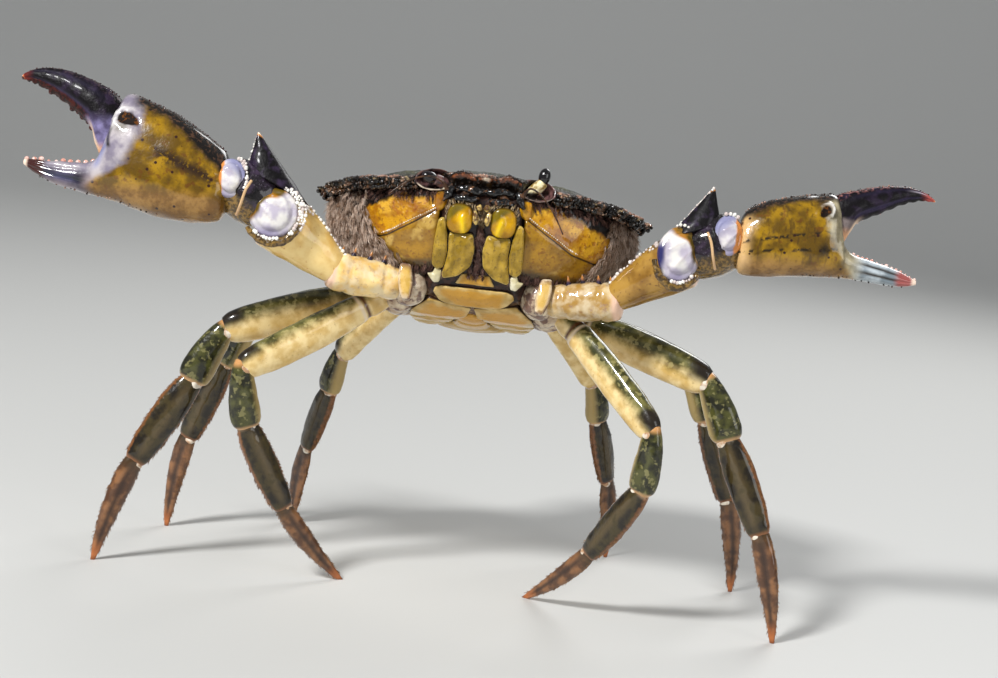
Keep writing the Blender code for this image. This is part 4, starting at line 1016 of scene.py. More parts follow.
skin = layered(mixed(cloud.step(0.38, 0.62), (40, 24, 26), (112, 78, 76)),
               (lip * low.step(0.3, 0.7) * cloud.step(0.3, 0.5), (236, 222, 196)),
               (lip * low.step(0.2, -0.3) * cloud.step(0.4, 0.55), (104, 74, 64)))
skin.into("Base Color")
(cloud + spot.mist(0.6) * 0.4).raise_surface(0.3)
fold_finish, spot = wet_shell("front folds", 0.22, 1.0, 0.04)
cloud = spot.mist(1.2, 3)
mixed(cloud.step(0.56, 0.70), (7, 5, 5), (110, 72, 40)).into("Base Color")
(cloud + spot.cells(0.6).step(0.6, 0.0) + spot.mist(0.5) * 0.5).raise_surface(0.5)
palp_finish, spot = wet_shell("mouth palps", 0.3, 0.9, 0.05)
mixed(spot.mist(1.0, 3).step(0.42, 0.58), (214, 184, 110), (96, 66, 34)).into("Base Color")
spot.mist(0.8, 2).raise_surface(0.2)
for side, word in SIDES:
    turn = full_turn(72)
    rows = []
    for size, depth in SOCKET_PROFILE:
        wide, tall = SOCKET_REACH[0] * size * np.cos(turn), SOCKET_REACH[1] * size * np.sin(turn)
        rows.append(np.column_stack([side * (SOCKET_CENTRE[0] + wide),
                                     SOCKET_CENTRE[1] + depth - 0.22 * wide * size
                                     + 0.16 * tall, SOCKET_CENTRE[2] + tall - 0.10 * wide]))
    grid = np.array(rows)
    grid = pushed(grid, lumps(grid, 1.5, 30) * 0.20)
    lip_rows = hump(np.arange(len(grid)), 5.0, 1.1)[:, None]
    marks = dict(spots(grid), lip=lip_rows * (1.0 if side < 0 else 0.2), low=-np.sin(turn)[None, :])
    attach(shell_mesh("eye_socket_" + word, grid, cup_finish, marks=marks), "carapace")
    for number, fold in enumerate(FRONT_FOLDS):
        middle = through(fold, 30) * (side, 1, 1)
        size = 0.95 * np.sin(np.linspace(0.5, math.pi - 0.35, 30)) ** 0.7
        grid = rounded(tube(middle, size, size * 0.8, np.array((0, 0.2, 1.0)), 20))
        grid = pushed(grid, lumps(grid, 1.1, 31 + number) * 0.30)
        attach(shell_mesh("front_fold_%d_%s" % (number + 1, word), grid, fold_finish), "mouth")
    grid = ellipsoid((side * 1.55, -1.5, -8.9), (0.75, 0.9, 1.7), 16, 24, (18, side * 8, 0))
    grid = pushed(grid, lumps(grid, 1.0, 35) * 0.22)
    attach(shell_mesh("palp_" + word, grid, palp_finish), "mouth")
    grid = ellipsoid((side * 0.95, -1.2, -6.4), (0.7, 0.9, 0.8), 14, 20)
    grid = pushed(grid, lumps(grid, 0.8, 36) * 0.22)
    attach(shell_mesh("upper_palp_" + word, grid, palp_finish), "mouth")


# Claws: hollow cases of hard shell, worked by the muscles inside. From the body out each has a base, an
# arm, a dark wrist with a spine, and a palm that runs on into the fixed finger, with the other finger
# hinged on it. The crab's right claw is the heavy crusher, its left one the slimmer cutter.
CLAW_KNEE = np.array((34.5, 6.8, -24.2))
CLAW_ELBOW = np.array((49.5, 0.6, -14.2))
CLAW_WRIST = np.array((60.2, -2.4, -8.6))
ARM_UP = np.array((-0.25, 0.1, 1.0))
WRIST_LIFT = np.array((0, 0, 1.2))
BASE = ((0, 3.0, 2.9), (0.12, 4.0, 3.9), (0.45, 4.6, 4.5), (0.85, 4.7, 4.6), (1, 4.1, 4.0))
ARM = ((0, 3.0, 2.9), (0.1, 4.4, 4.2), (0.4, 6.2, 5.4), (0.75, 7.9, 6.4), (0.94, 8.2, 6.6), (1, 7.4, 5.8))
FORE = ((0, 3.4, 3.2), (0.14, 5.2, 5.0), (0.4, 7.0, 6.8), (0.68, 7.2, 7.0), (0.9, 6.4, 6.0), (1, 5.2, 5.0))
SPINE_ACROSS = np.array((0.9, 4.2, 0))
SPINE_LENGTHWISE = unit((12.2, -2.6, 4.6))
SPINE_TAPER = ((0, 1.0), (0.25, 0.80), (0.5, 0.54), (0.75, 0.29), (0.92, 0.12), (1, 0.03))
WRIST_BAR = ((54.4, -9.4, -7.6), (55.4, -10.0, -10.0), (56.2, -9.4, -13.2), (57.2, -7.0, -15.6))
HAND_DEPTH = -3.2
# Rows of palm and finger: how far out and how high are the upper edge and the lower edge, and half the
# thickness. Other entries: foot, tip and length of the wrist's spine, lift and height of the arm, place and
# size of the hollow by the hinge, middle and radii of the domes, how far out the fixed finger, its teeth
# and the crest of grains begin or end, and size and step of the teeth.
HANDS = {
    -1: {"palm": ((60.4, -4.2, 60.4, -13.4, 3.4), (61.8, -0.6, 61.8, -16.8, 5.2),
                  (66.0, 2.6, 66.0, -17.8, 6.6), (73.0, 6.6, 73.0, -18.0, 7.4), (80.0, 9.3, 80.0, -16.9, 7.3),
                  (85.2, 11.0, 85.6, -15.3, 6.8), (87.4, 9.8, 88.2, -14.8, 6.2),
                  (88.9, 5.0, 90.0, -14.5, 5.6), (90.4, -1.0, 91.0, -14.4, 5.0),
                  (91.6, -5.0, 92.2, -14.2, 4.5), (94.0, -6.6, 94.5, -13.9, 3.9),
                  (97.0, -6.9, 97.0, -13.4, 3.5), (102.0, -7.2, 102.0, -12.3, 2.8),
                  (106.4, -7.2, 106.4, -10.6, 1.8), (109.3, -7.5, 109.3, -8.7, 0.6)),
         "finger": ((86.8, 6.6, 88.4, -5.2, 3.2), (88.2, 9.2, 90.9, -5.2, 3.9), (90.6, 11.2, 93.0, -2.2, 4.2),
                    (94.0, 12.7, 94.8, 2.2, 4.3), (99.4, 14.4, 99.6, 6.2, 3.6),
                    (104.6, 15.1, 104.6, 9.3, 2.7), (109.0, 14.6, 109.0, 11.3, 1.7),
                    (111.6, 13.4, 111.6, 11.7, 0.9), (112.5, 12.7, 112.5, 12.0, 0.35)),
         "spine": ((48.9, -2.6, -7.6), (54.7, -5.0, 4.9), 8.0), "arm": (0.3, 0.93),
         "notch": (85.2, 3.8, 2.6, 1.8),
         "elbow_dome": ((48.8, -4.6, -13.9), (5.9, 3.4, 6.1)),
         "wrist_dome": ((59.6, -6.8, -7.2), (3.8, 2.8, 4.8)),
         "fixed_from": 92.5, "teeth_from": 92.6, "crest_to": 85.4, "bead": 0.62, "bead_step": 1.62},
    1: {"palm": ((60.6, -4.0, 60.6, -12.0, 3.2), (62.0, -0.6, 62.0, -15.2, 4.8),
                 (66.5, 2.4, 66.5, -15.6, 5.8), (73.0, 4.4, 73.0, -14.8, 6.3), (79.5, 5.7, 79.5, -14.2, 6.1),
                 (82.4, 6.0, 82.8, -13.9, 5.7), (83.8, 4.2, 84.4, -13.8, 5.0), (84.8, -0.6, 85.6, -13.7, 4.4),
                 (85.8, -5.6, 86.4, -13.6, 3.7), (88.4, -7.9, 88.6, -13.7, 3.1),
                 (92.6, -8.8, 92.6, -13.9, 2.6), (97.6, -10.0, 97.6, -14.2, 2.0),
                 (101.2, -11.2, 101.2, -14.0, 1.3), (103.8, -12.3, 103.8, -13.3, 0.45)),
        "finger": ((81.2, 4.2, 83.6, -5.6, 2.9), (82.8, 5.8, 85.6, -5.4, 3.5), (85.2, 6.9, 87.2, -2.6, 3.6),
                   (88.4, 7.9, 88.9, 0.2, 3.4), (93.6, 9.3, 93.6, 2.8, 2.8), (99.0, 9.9, 99.0, 5.7, 2.1),
                   (103.2, 9.2, 103.2, 7.1, 1.3), (105.8, 8.0, 105.9, 7.1, 0.7),
                   (106.7, 7.3, 106.7, 7.0, 0.3)),
        "spine": ((50.0, -2.6, -7.4), (53.9, -5.0, 4.0), 6.8), "arm": (1.3, 0.84),
        "notch": (80.0, 0.5, 1.1, 1.5),
        "elbow_dome": ((47.2, -4.6, -12.8), (5.1, 3.4, 6.7)),
        "wrist_dome": ((58.0, -6.8, -7.4), (3.5, 2.8, 5.0)),
        "fixed_from": 87.5, "teeth_from": 87.6, "crest_to": 82.2, "bead": 0.42, "bead_step": 1.15}}
KEEL_FROM = 76


def limb(start, end, up, profile, bow=0.0, rows=48, sides=44, square=0.92):
    """Rings of a limb piece. Rows of the profile: share of the length, half height, half width."""
    start, end, up = (np.asarray(p, float) for p in (start, end, up))
    share, height, width = through(profile, rows).T
    t = share[:, None]
    control = (start + end) / 2 + unit(up) * 2 * bow
    middle = start * (1 - t) ** 2 + control * 2 * t * (1 - t) + end * t * t
    return tube(middle, height, width, up, sides, square), share


def limb_marks(grid, share, steps=4):
    """Marks of a limb piece with domed ends: its place, how far along it lies and how far to the top."""
    along = np.concatenate([np.full(steps, share[0]), share, np.full(steps, share[-1])])
    top = np.cos(full_turn(grid.shape[1]))
    return dict(spots(grid), along=along[:, None], top=top[None, :])


def hand_rings(rows, side, count, sides=56, square=0.86):
    """Rings of a palm or finger from its rows. The front lies a quarter round from the top."""
    x_top, z_top, x_low, z_low, half = through(rows, count).T
    depth = np.full(count, HAND_DEPTH)
    top = np.column_stack([side * x_top, depth, z_top])
    low = np.column_stack([side * x_low, depth, z_low])
    turn = full_turn(sides)
    rise, span = (np.sign(a) * np.abs(a) ** square for a in (np.cos(turn), np.sin(turn)))
    return ((top + low)[:, None, :] / 2 + (top - low)[:, None, :] / 2 * rise[None, :, None]
            - half[:, None, None] * span[None, :, None] * np.array((0, 1, 0)))


arm_finish, spot = wet_shell("claw arm", 0.32, 0.85, 0.05)
along, top, mustard_and_painted_shade = spot.marks("along", "top", "mustard_and_painted_shade")
cloud, fine = spot.mist(5.0, 3), spot.mist(0.9, 3)
cream = mixed(cloud.step(0.35, 0.65), (250, 218, 146), (226, 182, 98))
cream = mixed(fine.step(0.62, 0.72) * 0.5, cream, (196, 128, 58))
mustard = mixed(cloud.step(0.35, 0.65), (178, 136, 58), (134, 94, 28))
mustard = mixed(fine.step(0.58, 0.68) * 0.6, mustard, (96, 62, 20))
# Mustard is painted shade on the crab's left claw and the own colour of the wrist rim.
skin = mixed(mustard_and_painted_shade, cream, mustard)
root, smudge = spot.mark("root"), spot.mist(2.6, 3)
skin = layered(skin,
               (root * smudge.step(0.36, 0.66) * 0.6, (232, 218, 186)),
               (root * spot.mist(1.8, 3).step(0.56, 0.70) * 0.4, (158, 126, 112)),
               (along.step(0.10, 0.0) + along.step(0.93, 1.0), (236, 196, 168)))
ends = along.step(0.56, 0.92) * (top + cloud * 0.5 - 0.25).step(0.35, 0.75)
skin = mixed(ends * spot.mark("dark"), skin, (44, 34, 46))
skin.into("Base Color")
(fine * 0.25 + 0.22).into("Roughness")
(cloud + fine * 0.3).raise_surface(0.15)

wrist_finish, spot = wet_shell("claw wrist", 0.30, 0.9, 0.05)
along, top, rear = spot.marks("along", "top", "rear")
cloud, fine = spot.mist(3.0, 3), spot.mist(0.8, 3)
# The purple patches on the black case are a painted sheen.
dark = mixed(cloud.step(0.45, 0.70), (18, 12, 14), (58, 44, 64))
low = mixed(fine.step(0.4, 0.6), (78, 58, 20), (140, 108, 48))
skin = layered(mixed((top + cloud * 0.6 - 0.3).step(-0.35, -0.75), dark, low),
               (along.step(0.12, 0.0) * 0.8, low),
               (rear.step(2, 8) * cloud.step(0.40, 0.55) * 0.7, (58, 60, 26)))
skin.into("Base Color")
(fine + spot.cells(0.9).step(0.5, 0.0)).raise_surface(0.22)

spine_finish, spot = wet_shell("wrist spine", 0.5, 0.2, 0.15)
along, cloud = spot.mark("along"), spot.mist(2.4, 3)
# The purple patches on the black spine are a painted sheen.
dark = mixed(cloud.step(0.46, 0.70), (9, 6, 8), (52, 40, 62))
dark = mixed(along.step(0.90, 0.95), dark, (196, 130, 66))
mixed(along.step(0.95, 0.985), dark, (246, 226, 204)).into("Base Color")
(cloud + spot.mist(0.7) * 0.5).raise_surface(0.25)

skin_finish, spot = wet_shell("joint skin", 0.28, 0.9, 0.05)
over, out, radius = spot.marks("over", "outer", "radius")
cloud, fold = spot.mist(3.4, 2), spot.mark("fold")
pearl = layered(mixed(cloud.step(0.35, 0.62), (230, 226, 220), (184, 176, 190)),
                (spot.mark("warm") * (over - out * 0.7).step(0.0, 0.9), (138, 138, 172)),
                (fold.step(0.25, 0.8) * 0.55, (150, 122, 104)),
                # The lavender blue over the lower part of each dome is painted shade.
                ((over - out * 0.2).step(-0.35, -0.95) * 0.8, (132, 124, 158)))
band = radius.step(0.46, 0.60) * (over + out * 0.9).step(0.25, 0.6) * (1 - spot.mark("warm"))
pearl = layered(pearl,
                (band * cloud.step(0.25, 0.40), mixed(cloud.step(0.4, 0.6), (178, 120, 38), (96, 76, 18))),
                (out.step(0.40, 0.56) * over.size().step(0.95, 0.75) * spot.mark("warm"), (212, 134, 62)),
                # On the elbow dome of the claw in shade, the dark blue at the lower outer edge is painted
                # shade.
                (out.step(-0.60, -0.86) * over.step(0.5, 0.1) * spot.mark("painted_blue_shade"), (44, 44, 96)))
pearl.into("Base Color")
(cloud + fold).raise_surface(0.2)

# White grains; their pure white is partly a painted glint.
white_beads_painted_glints, spot = wet_shell("white beads with painted glints", 0.25, 0.9, 0.04)
mixed(spot.mist(1.4).step(0.42, 0.62), (252, 250, 240), (206, 190, 184)).into("Base Color")
bead_pink, spot = wet_shell("pink beads", 0.28, 0.9, 0.04)
mixed(spot.mist(1.8).step(0.40, 0.60), (240, 208, 196), (210, 146, 128)).into("Base Color")
bead_dark, spot = wet_shell("dark beads", 0.28, 0.9, 0.04)
mixed(spot.mist(1.2).step(0.42, 0.62), (66, 20, 14), (26, 10, 9)).into("Base Color")

palm_finish, spot = wet_shell("claw palm", 0.30, 0.85, 0.05)
out, up, top = spot.mark("across").size(), spot.mark("up"), spot.mark("top")
heavy, front = spot.marks("heavy", "front")
cloud, fine, dots = spot.mist(4.5, 3), spot.mist(0.8, 3), spot.cells(2.7)
streaks = spot.node("ShaderNodeMapping", {}, {"Vector": spot, "Scale": (1, 1, 0.22)}).mist(1.1, 3)
warm = layered(mixed(cloud.step(0.34, 0.62), (156, 118, 6), (94, 68, 2)),
               (spot.mist(1.8, 3).step(0.58, 0.68) * 0.6, (96, 52, 10)),
               (fine.step(0.58, 0.70) * 0.4, (70, 48, 6)),
               (streaks.step(0.54, 0.68) * (1 - heavy) * 0.7, (74, 52, 8)))
tan = mixed((cloud + fine * 0.4).step(0.50, 0.86), (158, 118, 58), (112, 76, 24))
skin = mixed((up + cloud * 3.0).step(-9.0, -12.6), warm, tan)
skin = mixed((out + cloud * 3.0).step(66.5, 62.5) * (1 - heavy) * 0.8, skin, (232, 190, 130))
blotch = (up + (76.4 - out) * 0.336).ridge(-3.9, 3.2) * out.step(60, 65) * out.step(80, 76)
blotch = blotch * cloud.step(0.34, 0.46)
upper_row = (up - (out - 66.4) * 0.204).ridge(-7.4, 0.8)
rows_of_dots = upper_row.either((up - (out - 66.5) * 0.129).ridge(-10.2, 0.7))
skin = layered(skin,
               (blotch * heavy * fine.step(0.30, 0.48), (44, 26, 8)),
               (rows_of_dots * (1 - heavy) * spot.mist(1.5).step(0.48, 0.58), (32, 24, 8)),
               (dots.step(0.16, 0.11), (46, 20, 8)))
neck = (out - 81.8 - (0 - up).either(0) * 0.45 - (-7 - up).either(0) * 1.1) * heavy
neck = neck + (out - 80.9 - (-3.5 - up).either(0) * 0.7) * (1 - heavy)
white = mixed(cloud.step(0.35, 0.65), (186, 178, 180), (128, 120, 136))
white = mixed(up.step(-9.0, -13.5), white, (172, 142, 124))
bone = mixed(cloud.step(0.35, 0.65), (186, 174, 140), (116, 106, 82))
skin = mixed((neck + cloud * 3.0 + fine - 2.0).step(-1.4, 1.2), skin, mixed(heavy, bone, white))
crease = (out + up * 0.25).ridge(89.4, 1.6) * up.step(-1.0, -3.5) * up.step(-9.5, -7.0) * heavy
skin = mixed(crease * 0.7, skin, (124, 130, 176))
crescent = (out + (up + 1.0) * (up + 1.0) * 0.1).ridge(89.2, 1.0) * (up + 1.0).size().step(3.0, 1.8) * heavy
shaded = (up + out * 0.05).ridge(-4.4, 2.6) * out.ridge(80.6, 2.2) * (1 - heavy)
skin = layered(skin,
               (crescent, (14, 9, 10)),
               (shaded * cloud.step(0.3, 0.5), (34, 24, 8)),
               (spot.mark("rim") * 0.8, (238, 234, 230)),
               # Painted shade: grey below the crusher's notch.
               (spot.mark("painted_hollow_shade"), (104, 98, 78)))
pit = mixed((fine + cloud * 0.6).step(0.84, 1.0), (22, 11, 6), (96, 54, 12))
hole = (spot.mark("notch") + cloud * 0.5 + fine * 0.3 - 0.4).step(0.15, 0.6)
skin = mixed(hole, skin, pit)
(0.85 - hole * 0.85).into("Coat Weight")
upper = (top + (76 - out).either(0) * 0.035 * heavy + cloud * 0.3 - 0.15).step(0.60, 0.86)
upper = upper * out.step(85.6, 82.6)
skin = mixed(upper, skin, mixed(fine.step(0.5, 0.64), (16, 10, 6), (74, 50, 34)))
far = out - 94.0 * heavy - 90.0 * (1 - heavy)
groove = spot.mark("groove")
blue = mixed(cloud.step(0.35, 0.65), (48, 50, 84), (18, 18, 34))
lavender = mixed(cloud.step(0.35, 0.65), (152, 136, 144), (98, 88, 104))
steel = mixed(cloud.step(0.35, 0.65), (196, 206, 212), (124, 136, 144))
fixed_heavy = mixed(front.ridge(0.30, 0.16), mixed(top.step(0.2, -0.2), white, lavender), blue)
fixed_light = mixed(groove, steel, (44, 38, 30))
skin = mixed(far.step(-3.0, 1.5), skin, mixed(heavy, fixed_light, fixed_heavy))
tip = (out - 104.2 * heavy - 99.0 * (1 - heavy) + cloud - 0.5).step(-1.0, 0.8)
skin = mixed(tip, skin, mixed(heavy, (158, 80, 76), (58, 20, 16)))
end = (out - 108.4 * heavy - 102.6 * (1 - heavy)).step(-0.5, 0.6)
skin = mixed(end, skin, (244, 218, 196))
skin.into("Base Color")
(fine * 0.25 + 0.18 + hole * 0.4).into("Roughness")
(fine * 0.6 + cloud).raise_surface(0.12)

finger_finish, spot = wet_shell("claw finger", 0.45, 0.12, 0.12)
out, up, top = spot.mark("across").size(), spot.mark("up"), spot.mark("top")
along, heavy = spot.marks("along", "heavy")
cloud, fine = spot.mist(3.0, 3), spot.mist(0.7, 3)
# The purple patches on the black finger are a painted sheen.
black = mixed(cloud.step(0.45, 0.66), (9, 5, 8), (38, 27, 46))
# The lavender along the finger's groove is a painted highlight.
black = mixed(spot.mark("trough_and_painted_highlight") * 0.6, black, (66, 58, 92))
brown = mixed(fine.step(0.4, 0.6), (28, 9, 7), (66, 22, 16))
lilac = mixed(cloud.step(0.35, 0.65), (126, 118, 158), (78, 70, 100))
skin = mixed((top + cloud * 0.3 - 0.15).step(-0.55, -0.80) * heavy, black, brown)
skin = mixed(top.step(0.55, 0.9) * fine.step(0.50, 0.62), skin, mixed(heavy, (146, 96, 92), (66, 52, 58)))
base = (up + cloud * 1.6 - 0.8).step(5.4, 2.0) * out.step(97.4, 94.6)
base_light = (up + cloud * 1.6 - 0.8).step(0.6, -0.8) * out.step(90.4, 88.2)
skin = layered(skin, (base * heavy, lilac), (base_light * (1 - heavy), (120, 108, 106)))
inner = top.step(-0.72, -0.92) * along.step(0.42, 0.30)
skin = layered(skin,
               (inner, (240, 208, 176)),
               (up.step(-1.5, -4.5) * along.step(0.3, 0.2), (226, 168, 122)))
# A pale line along the cutter finger's ridge near the tip is a painted highlight.
painted_ridge_highlight = (top - 0.35).ridge(0.0, 0.3) * along.step(0.62, 0.78) * (1 - heavy)
skin = mixed(painted_ridge_highlight * 0.8, skin, (206, 196, 208))
reddish = mixed(heavy, (along + cloud * 0.1).step(0.78, 0.88), (along + cloud * 0.1).step(0.80, 0.96))
skin = layered(skin,
               (reddish, mixed(heavy, (168, 76, 70), (104, 32, 24))),
               ((along + (0 - top) * 0.03).step(0.90, 0.96), (226, 130, 84)),
               (along.step(0.96, 0.99), (250, 226, 200)))
skin.into("Base Color")
(fine + cloud * 0.6).raise_surface(0.16)


def on_grid(grid, side, turn):
    """The line along a piece at a share of the turn from its top towards its front."""
    return grid[:, round(side * turn * grid.shape[1]) % grid.shape[1]]


for side, word in SIDES:
    rows = HANDS[side]
    flip = np.array((side, 1, 1))
    knee, elbow, wrist, hip = (p * flip for p in (CLAW_KNEE, CLAW_ELBOW, CLAW_WRIST, np.array(CLAW_HIP)))
    up = ARM_UP * flip
    lift = np.array((0, 0, rows["arm"][0]))
    heavy = 1.0 if side < 0 else 0.0
    # The crab's left claw is painted darker, as shade.
    mustard_and_painted_shade = 0.0 if side < 0 else 1.0

    # Base and arm: smooth, cream yellow, painted darker mustard as shade on the crab's left claw, with four
    # small spines on the base and rows of white grains on the arm, their white partly a painted glint.
    grid, share = limb(hip - (knee - hip) * 0.10, knee + (knee - hip) * 0.02, up, BASE)
    steps = hump(share, 0.30, 0.03) + hump(share, 0.78, 0.025)
    relief = lumps(grid, 3.0, 11) * 0.35 + lumps(grid, 1.4, 10) * 0.12 - 0.35 * steps[:, None]
    grid = pushed(grid, relief)
    marks = limb_marks(rounded(grid), share)
    marks = dict(marks, mustard_and_painted_shade=mustard_and_painted_shade * 0.7, dark=0.0, root=1.0)
    base = shell_mesh("claw_root_" + word, rounded(grid), arm_finish, marks=marks)
    attach(base, "claw_arm", "claw_base_" + word)
    ridge = on_grid(grid, side, 0.07)
    for number, place in enumerate((0.42, 0.55, 0.68, 0.84)):
        root = ridge[round(place * (len(ridge) - 1))]
        rise, turn = np.linspace(-0.3, 1, 8)[:, None, None], full_turn(10)
        ring = np.column_stack([np.cos(turn) * 0.66, np.sin(turn) * 0.5, np.zeros(10)])
        thorn = root + ring * (1.02 - rise) + np.array((-side * 0.45, -0.3, 2.0)) * rise
        marks = dict(spots(thorn), along=0.89 + 0.08 * rise[:, 0])
        thorn = shell_mesh("root_spine_%d_%s" % (number + 1, word), thorn, spine_finish, marks=marks)
        attach(thorn, "claw_arm")
    slim = [(s, height * rows["arm"][1], width) for s, height, width in ARM]
    start, end = knee - (elbow - knee) * 0.10 + lift, elbow + (elbow - knee) * 0.02 + lift
    grid, share = limb(start, end, up, slim, 0.6)
    grid = pushed(grid, lumps(grid, 4.5, 12) * 0.25 + lumps(grid, 1.2, 13) * 0.05)
    arm_line = on_grid(grid, side, 0.10)
    arm_line_low = on_grid(grid, side, 0.13)
    marks = dict(limb_marks(rounded(grid, 0.2), share), mustard_and_painted_shade=mustard_and_painted_shade, dark=1.0)
    arm = shell_mesh("claw_arm_shell_" + word, rounded(grid, 0.2), arm_finish, marks=marks)
    attach(arm, "claw_arm", "claw_arm_" + word)
    grains = [arm_line[10:], arm_line_low[26:] + (0, -0.1, 0), on_grid(grid, side, 0.16)[38:]]
    attach(bead_rows("arm_grains_" + word, grains, white_beads_painted_glints, 1.0, 0.46, 0.24), "claw_arm")

    # Wrist: a dark case with a broad spine over it, and a pale rim between its two windows of joint skin.
    start, end = elbow - (wrist - elbow) * 0.22 + WRIST_LIFT, wrist + (wrist - elbow) * 0.10 + WRIST_LIFT
    grid, share = limb(start, end, up, FORE, 0.6)
    grid = pushed(grid, lumps(grid, 3.0, 14) * 0.3 + lumps(grid, 1.0, 15) * 0.07)
    wrist_grid = rounded(grid, 0.25)
    fore = shell_mesh("claw_wrist_shell_" + word, wrist_grid, wrist_finish,
                      marks=limb_marks(wrist_grid, share))
    attach(fore, "claw_wrist", "claw_wrist_" + word)
    foot, tip, length = rows["spine"]
    share, width = through(SPINE_TAPER, 40).T
    middle = np.array(foot) * flip + (np.array(tip) - foot) * flip * share[:, None]
    turn = full_turn(40)
    grid = (middle[:, None, :] + width[:, None, None]
            * (SPINE_LENGTHWISE * flip * length * np.cos(turn)[:, None]
                                                       + SPINE_ACROSS * flip * np.sin(turn)[:, None]))
    grid = grid + outward(grid) * (lumps(grid, 2.0, 16) * 0.22)[..., None] * (1 - share)[:, None, None]
    marks = dict(spots(grid), along=share[:, None])
    attach(shell_mesh("wrist_spine_" + word, grid, spine_finish, marks=marks), "claw_wrist")
    lines, bead_sizes = (grid[2:30, 0],), (0.62, 0.26, 0.15)
    if side > 0:
        lines, bead_sizes = (grid[:, 20], grid[:, 20] + (0.2, -0.3, 0)), (0.50, 0.30, 0.12)
    attach(bead_rows("spine_grains_" + word, lines, white_beads_painted_glints, *bead_sizes), "claw_wrist")

    # Windows of joint skin: tense white domes with soft folds, ringed by grains, with a dark collar at the
    # elbow.
    for part, node_marks in (("elbow_dome", (0.0, mustard_and_painted_shade)), ("wrist_dome", (1.0, 0.0))):
        centre, radii = rows[part]
        centre = np.array(centre) * flip
        grid = ellipsoid(centre, np.array(radii), 40, 56)
        local = (grid - centre) / radii
        over, outer = local[..., 2], local[..., 0] * side
        fold = hump(over - 0.45 * outer, 0.30, 0.10) + hump(over - 0.9 * outer, -0.35, 0.12)
        fold = 0.5 * fold * (np.abs(local[..., 1] + 0.5) < 0.6) * limited(1.3 - np.hypot(over, outer))
        dent = -0.5 * hump(np.hypot(over, outer), 0.80, 0.10)
        grid = pushed(grid, fold * 0.45 + dent + lumps(grid, 2.6, 17) * 0.28)
        marks = dict(over=over, outer=outer, radius=np.hypot(over, outer), fold=fold, warm=node_marks[0],
                     painted_blue_shade=node_marks[1])
        attach(shell_mesh("%s_%s" % (part, word), grid, skin_finish, marks=marks), "claw_wrist")
        angle = np.linspace(0, math.tau, 60)
        ring = centre + np.column_stack([radii[0] * 1.03 * np.cos(angle) * side,
                                         np.full(60, -radii[1] * 0.42),
                                         radii[2] * 1.03 * np.sin(angle)])
        if part == "elbow_dome":
            lines = [ring[42:52], ring[12:18]]
            if side < 0:
                lines[1:] = [ring[18:38] + (k, 0.3 * k, 0) for k in (0.1, 0.8, 1.5)]
            arc = np.linspace(math.radians(-165), math.radians(-35), 40)
            arc = centre + np.column_stack([radii[0] * 1.15 * np.cos(arc) * side,
                                            np.full(40, -radii[1] * 0.25),
                                            radii[2] * 1.17 * np.sin(arc)])
            size = 0.8 * np.sin(np.linspace(0.35, math.pi - 0.35, 40)) ** 0.6
            grid = rounded(tube(arc, size, size * 1.3, np.array((0, -1.0, 0)), 20))
            grid = pushed(grid, lumps(grid, 1.6, 22) * 0.35)
            marks = dict(spots(grid), along=0.5, top=-0.6)
            attach(shell_mesh("elbow_collar_" + word, grid, wrist_finish, marks=marks), "claw_wrist")
        else:
            lines = [ring[18:36], ring[20:26] + (0, -0.1, 0.7)] if side < 0 else [ring[10:18]]
        attach(bead_rows("%s_grains_%s" % (part, word), lines, white_beads_painted_glints, 0.72, 0.44, 0.14), "claw_wrist")
    bar = through(WRIST_BAR, 24) * flip
    bar = bar + np.array((side * (-1.4 if side > 0 else 0), 0, 0))
    grid = rounded(tube(bar, np.full(24, 0.4), np.full(24, 0.34), np.array((0, -1.0, 0)), 16))
    marks = dict(spots(grid), along=0.96, top=0.0, mustard_and_painted_shade=0.8, dark=0.0)
    attach(shell_mesh("wrist_rim_" + word, grid, arm_finish, marks=marks), "claw_wrist")

    # Palm with the fixed finger: ochre, dotted, dark along the top, white where the other finger is hinged.
    grid = hand_rings(rows["palm"], side, 150, 96)
    out, high = np.abs(grid[..., 0]), grid[..., 2]
    turn = np.linspace(0, 1, grid.shape[1], endpoint=False)[None, :] * np.ones(out.shape)
    facing = limited(np.sin(turn * math.tau) * 2)
    notch_x, notch_z, wide, tall = rows["notch"]
    across, above = out - notch_x, high - notch_z
    ring = np.hypot((across - above * 0.3) / wide, (above + across ** 2 * 0.10) / tall)
    ring = ring * (1 + 0.4 * lumps(grid, 1.8, 23))
    notch = np.exp(-ring ** 4) * facing
    egg = np.hypot((across - 0.2 + above * 0.08) / 3.2, (above + 4.4) / 6.3) if side < 0 else ring / 1.9
    swell = limited((1.12 - egg) / 0.22) * facing
    lip = hump(ring, 1.45, 0.28) * facing * limited(0.35 + across * 0.35 + above * 0.15)
    fixed = limited((out - rows["fixed_from"]) / 4)
    fade = limited((rows["palm"][-1][0] - out) / 5)
    groove = (hump(turn, 0.20, 0.030) + hump(turn, 0.315, 0.030)) * fixed
    height = (-0.6 * notch + 0.45 * lip + 0.55 * swell - 0.42 * groove * fade
              + (lumps(grid, 3.0, 18) * 0.18 + lumps(grid, 0.9, 19) * 0.03) * limited(fade * 2))
    grid = pushed(grid, height)
    rim = hump(egg, 0.93, 0.10) * limited(across * 0.5) * limited(above / 3 + 1.4)
    rim = np.maximum(lip, rim * facing * heavy)
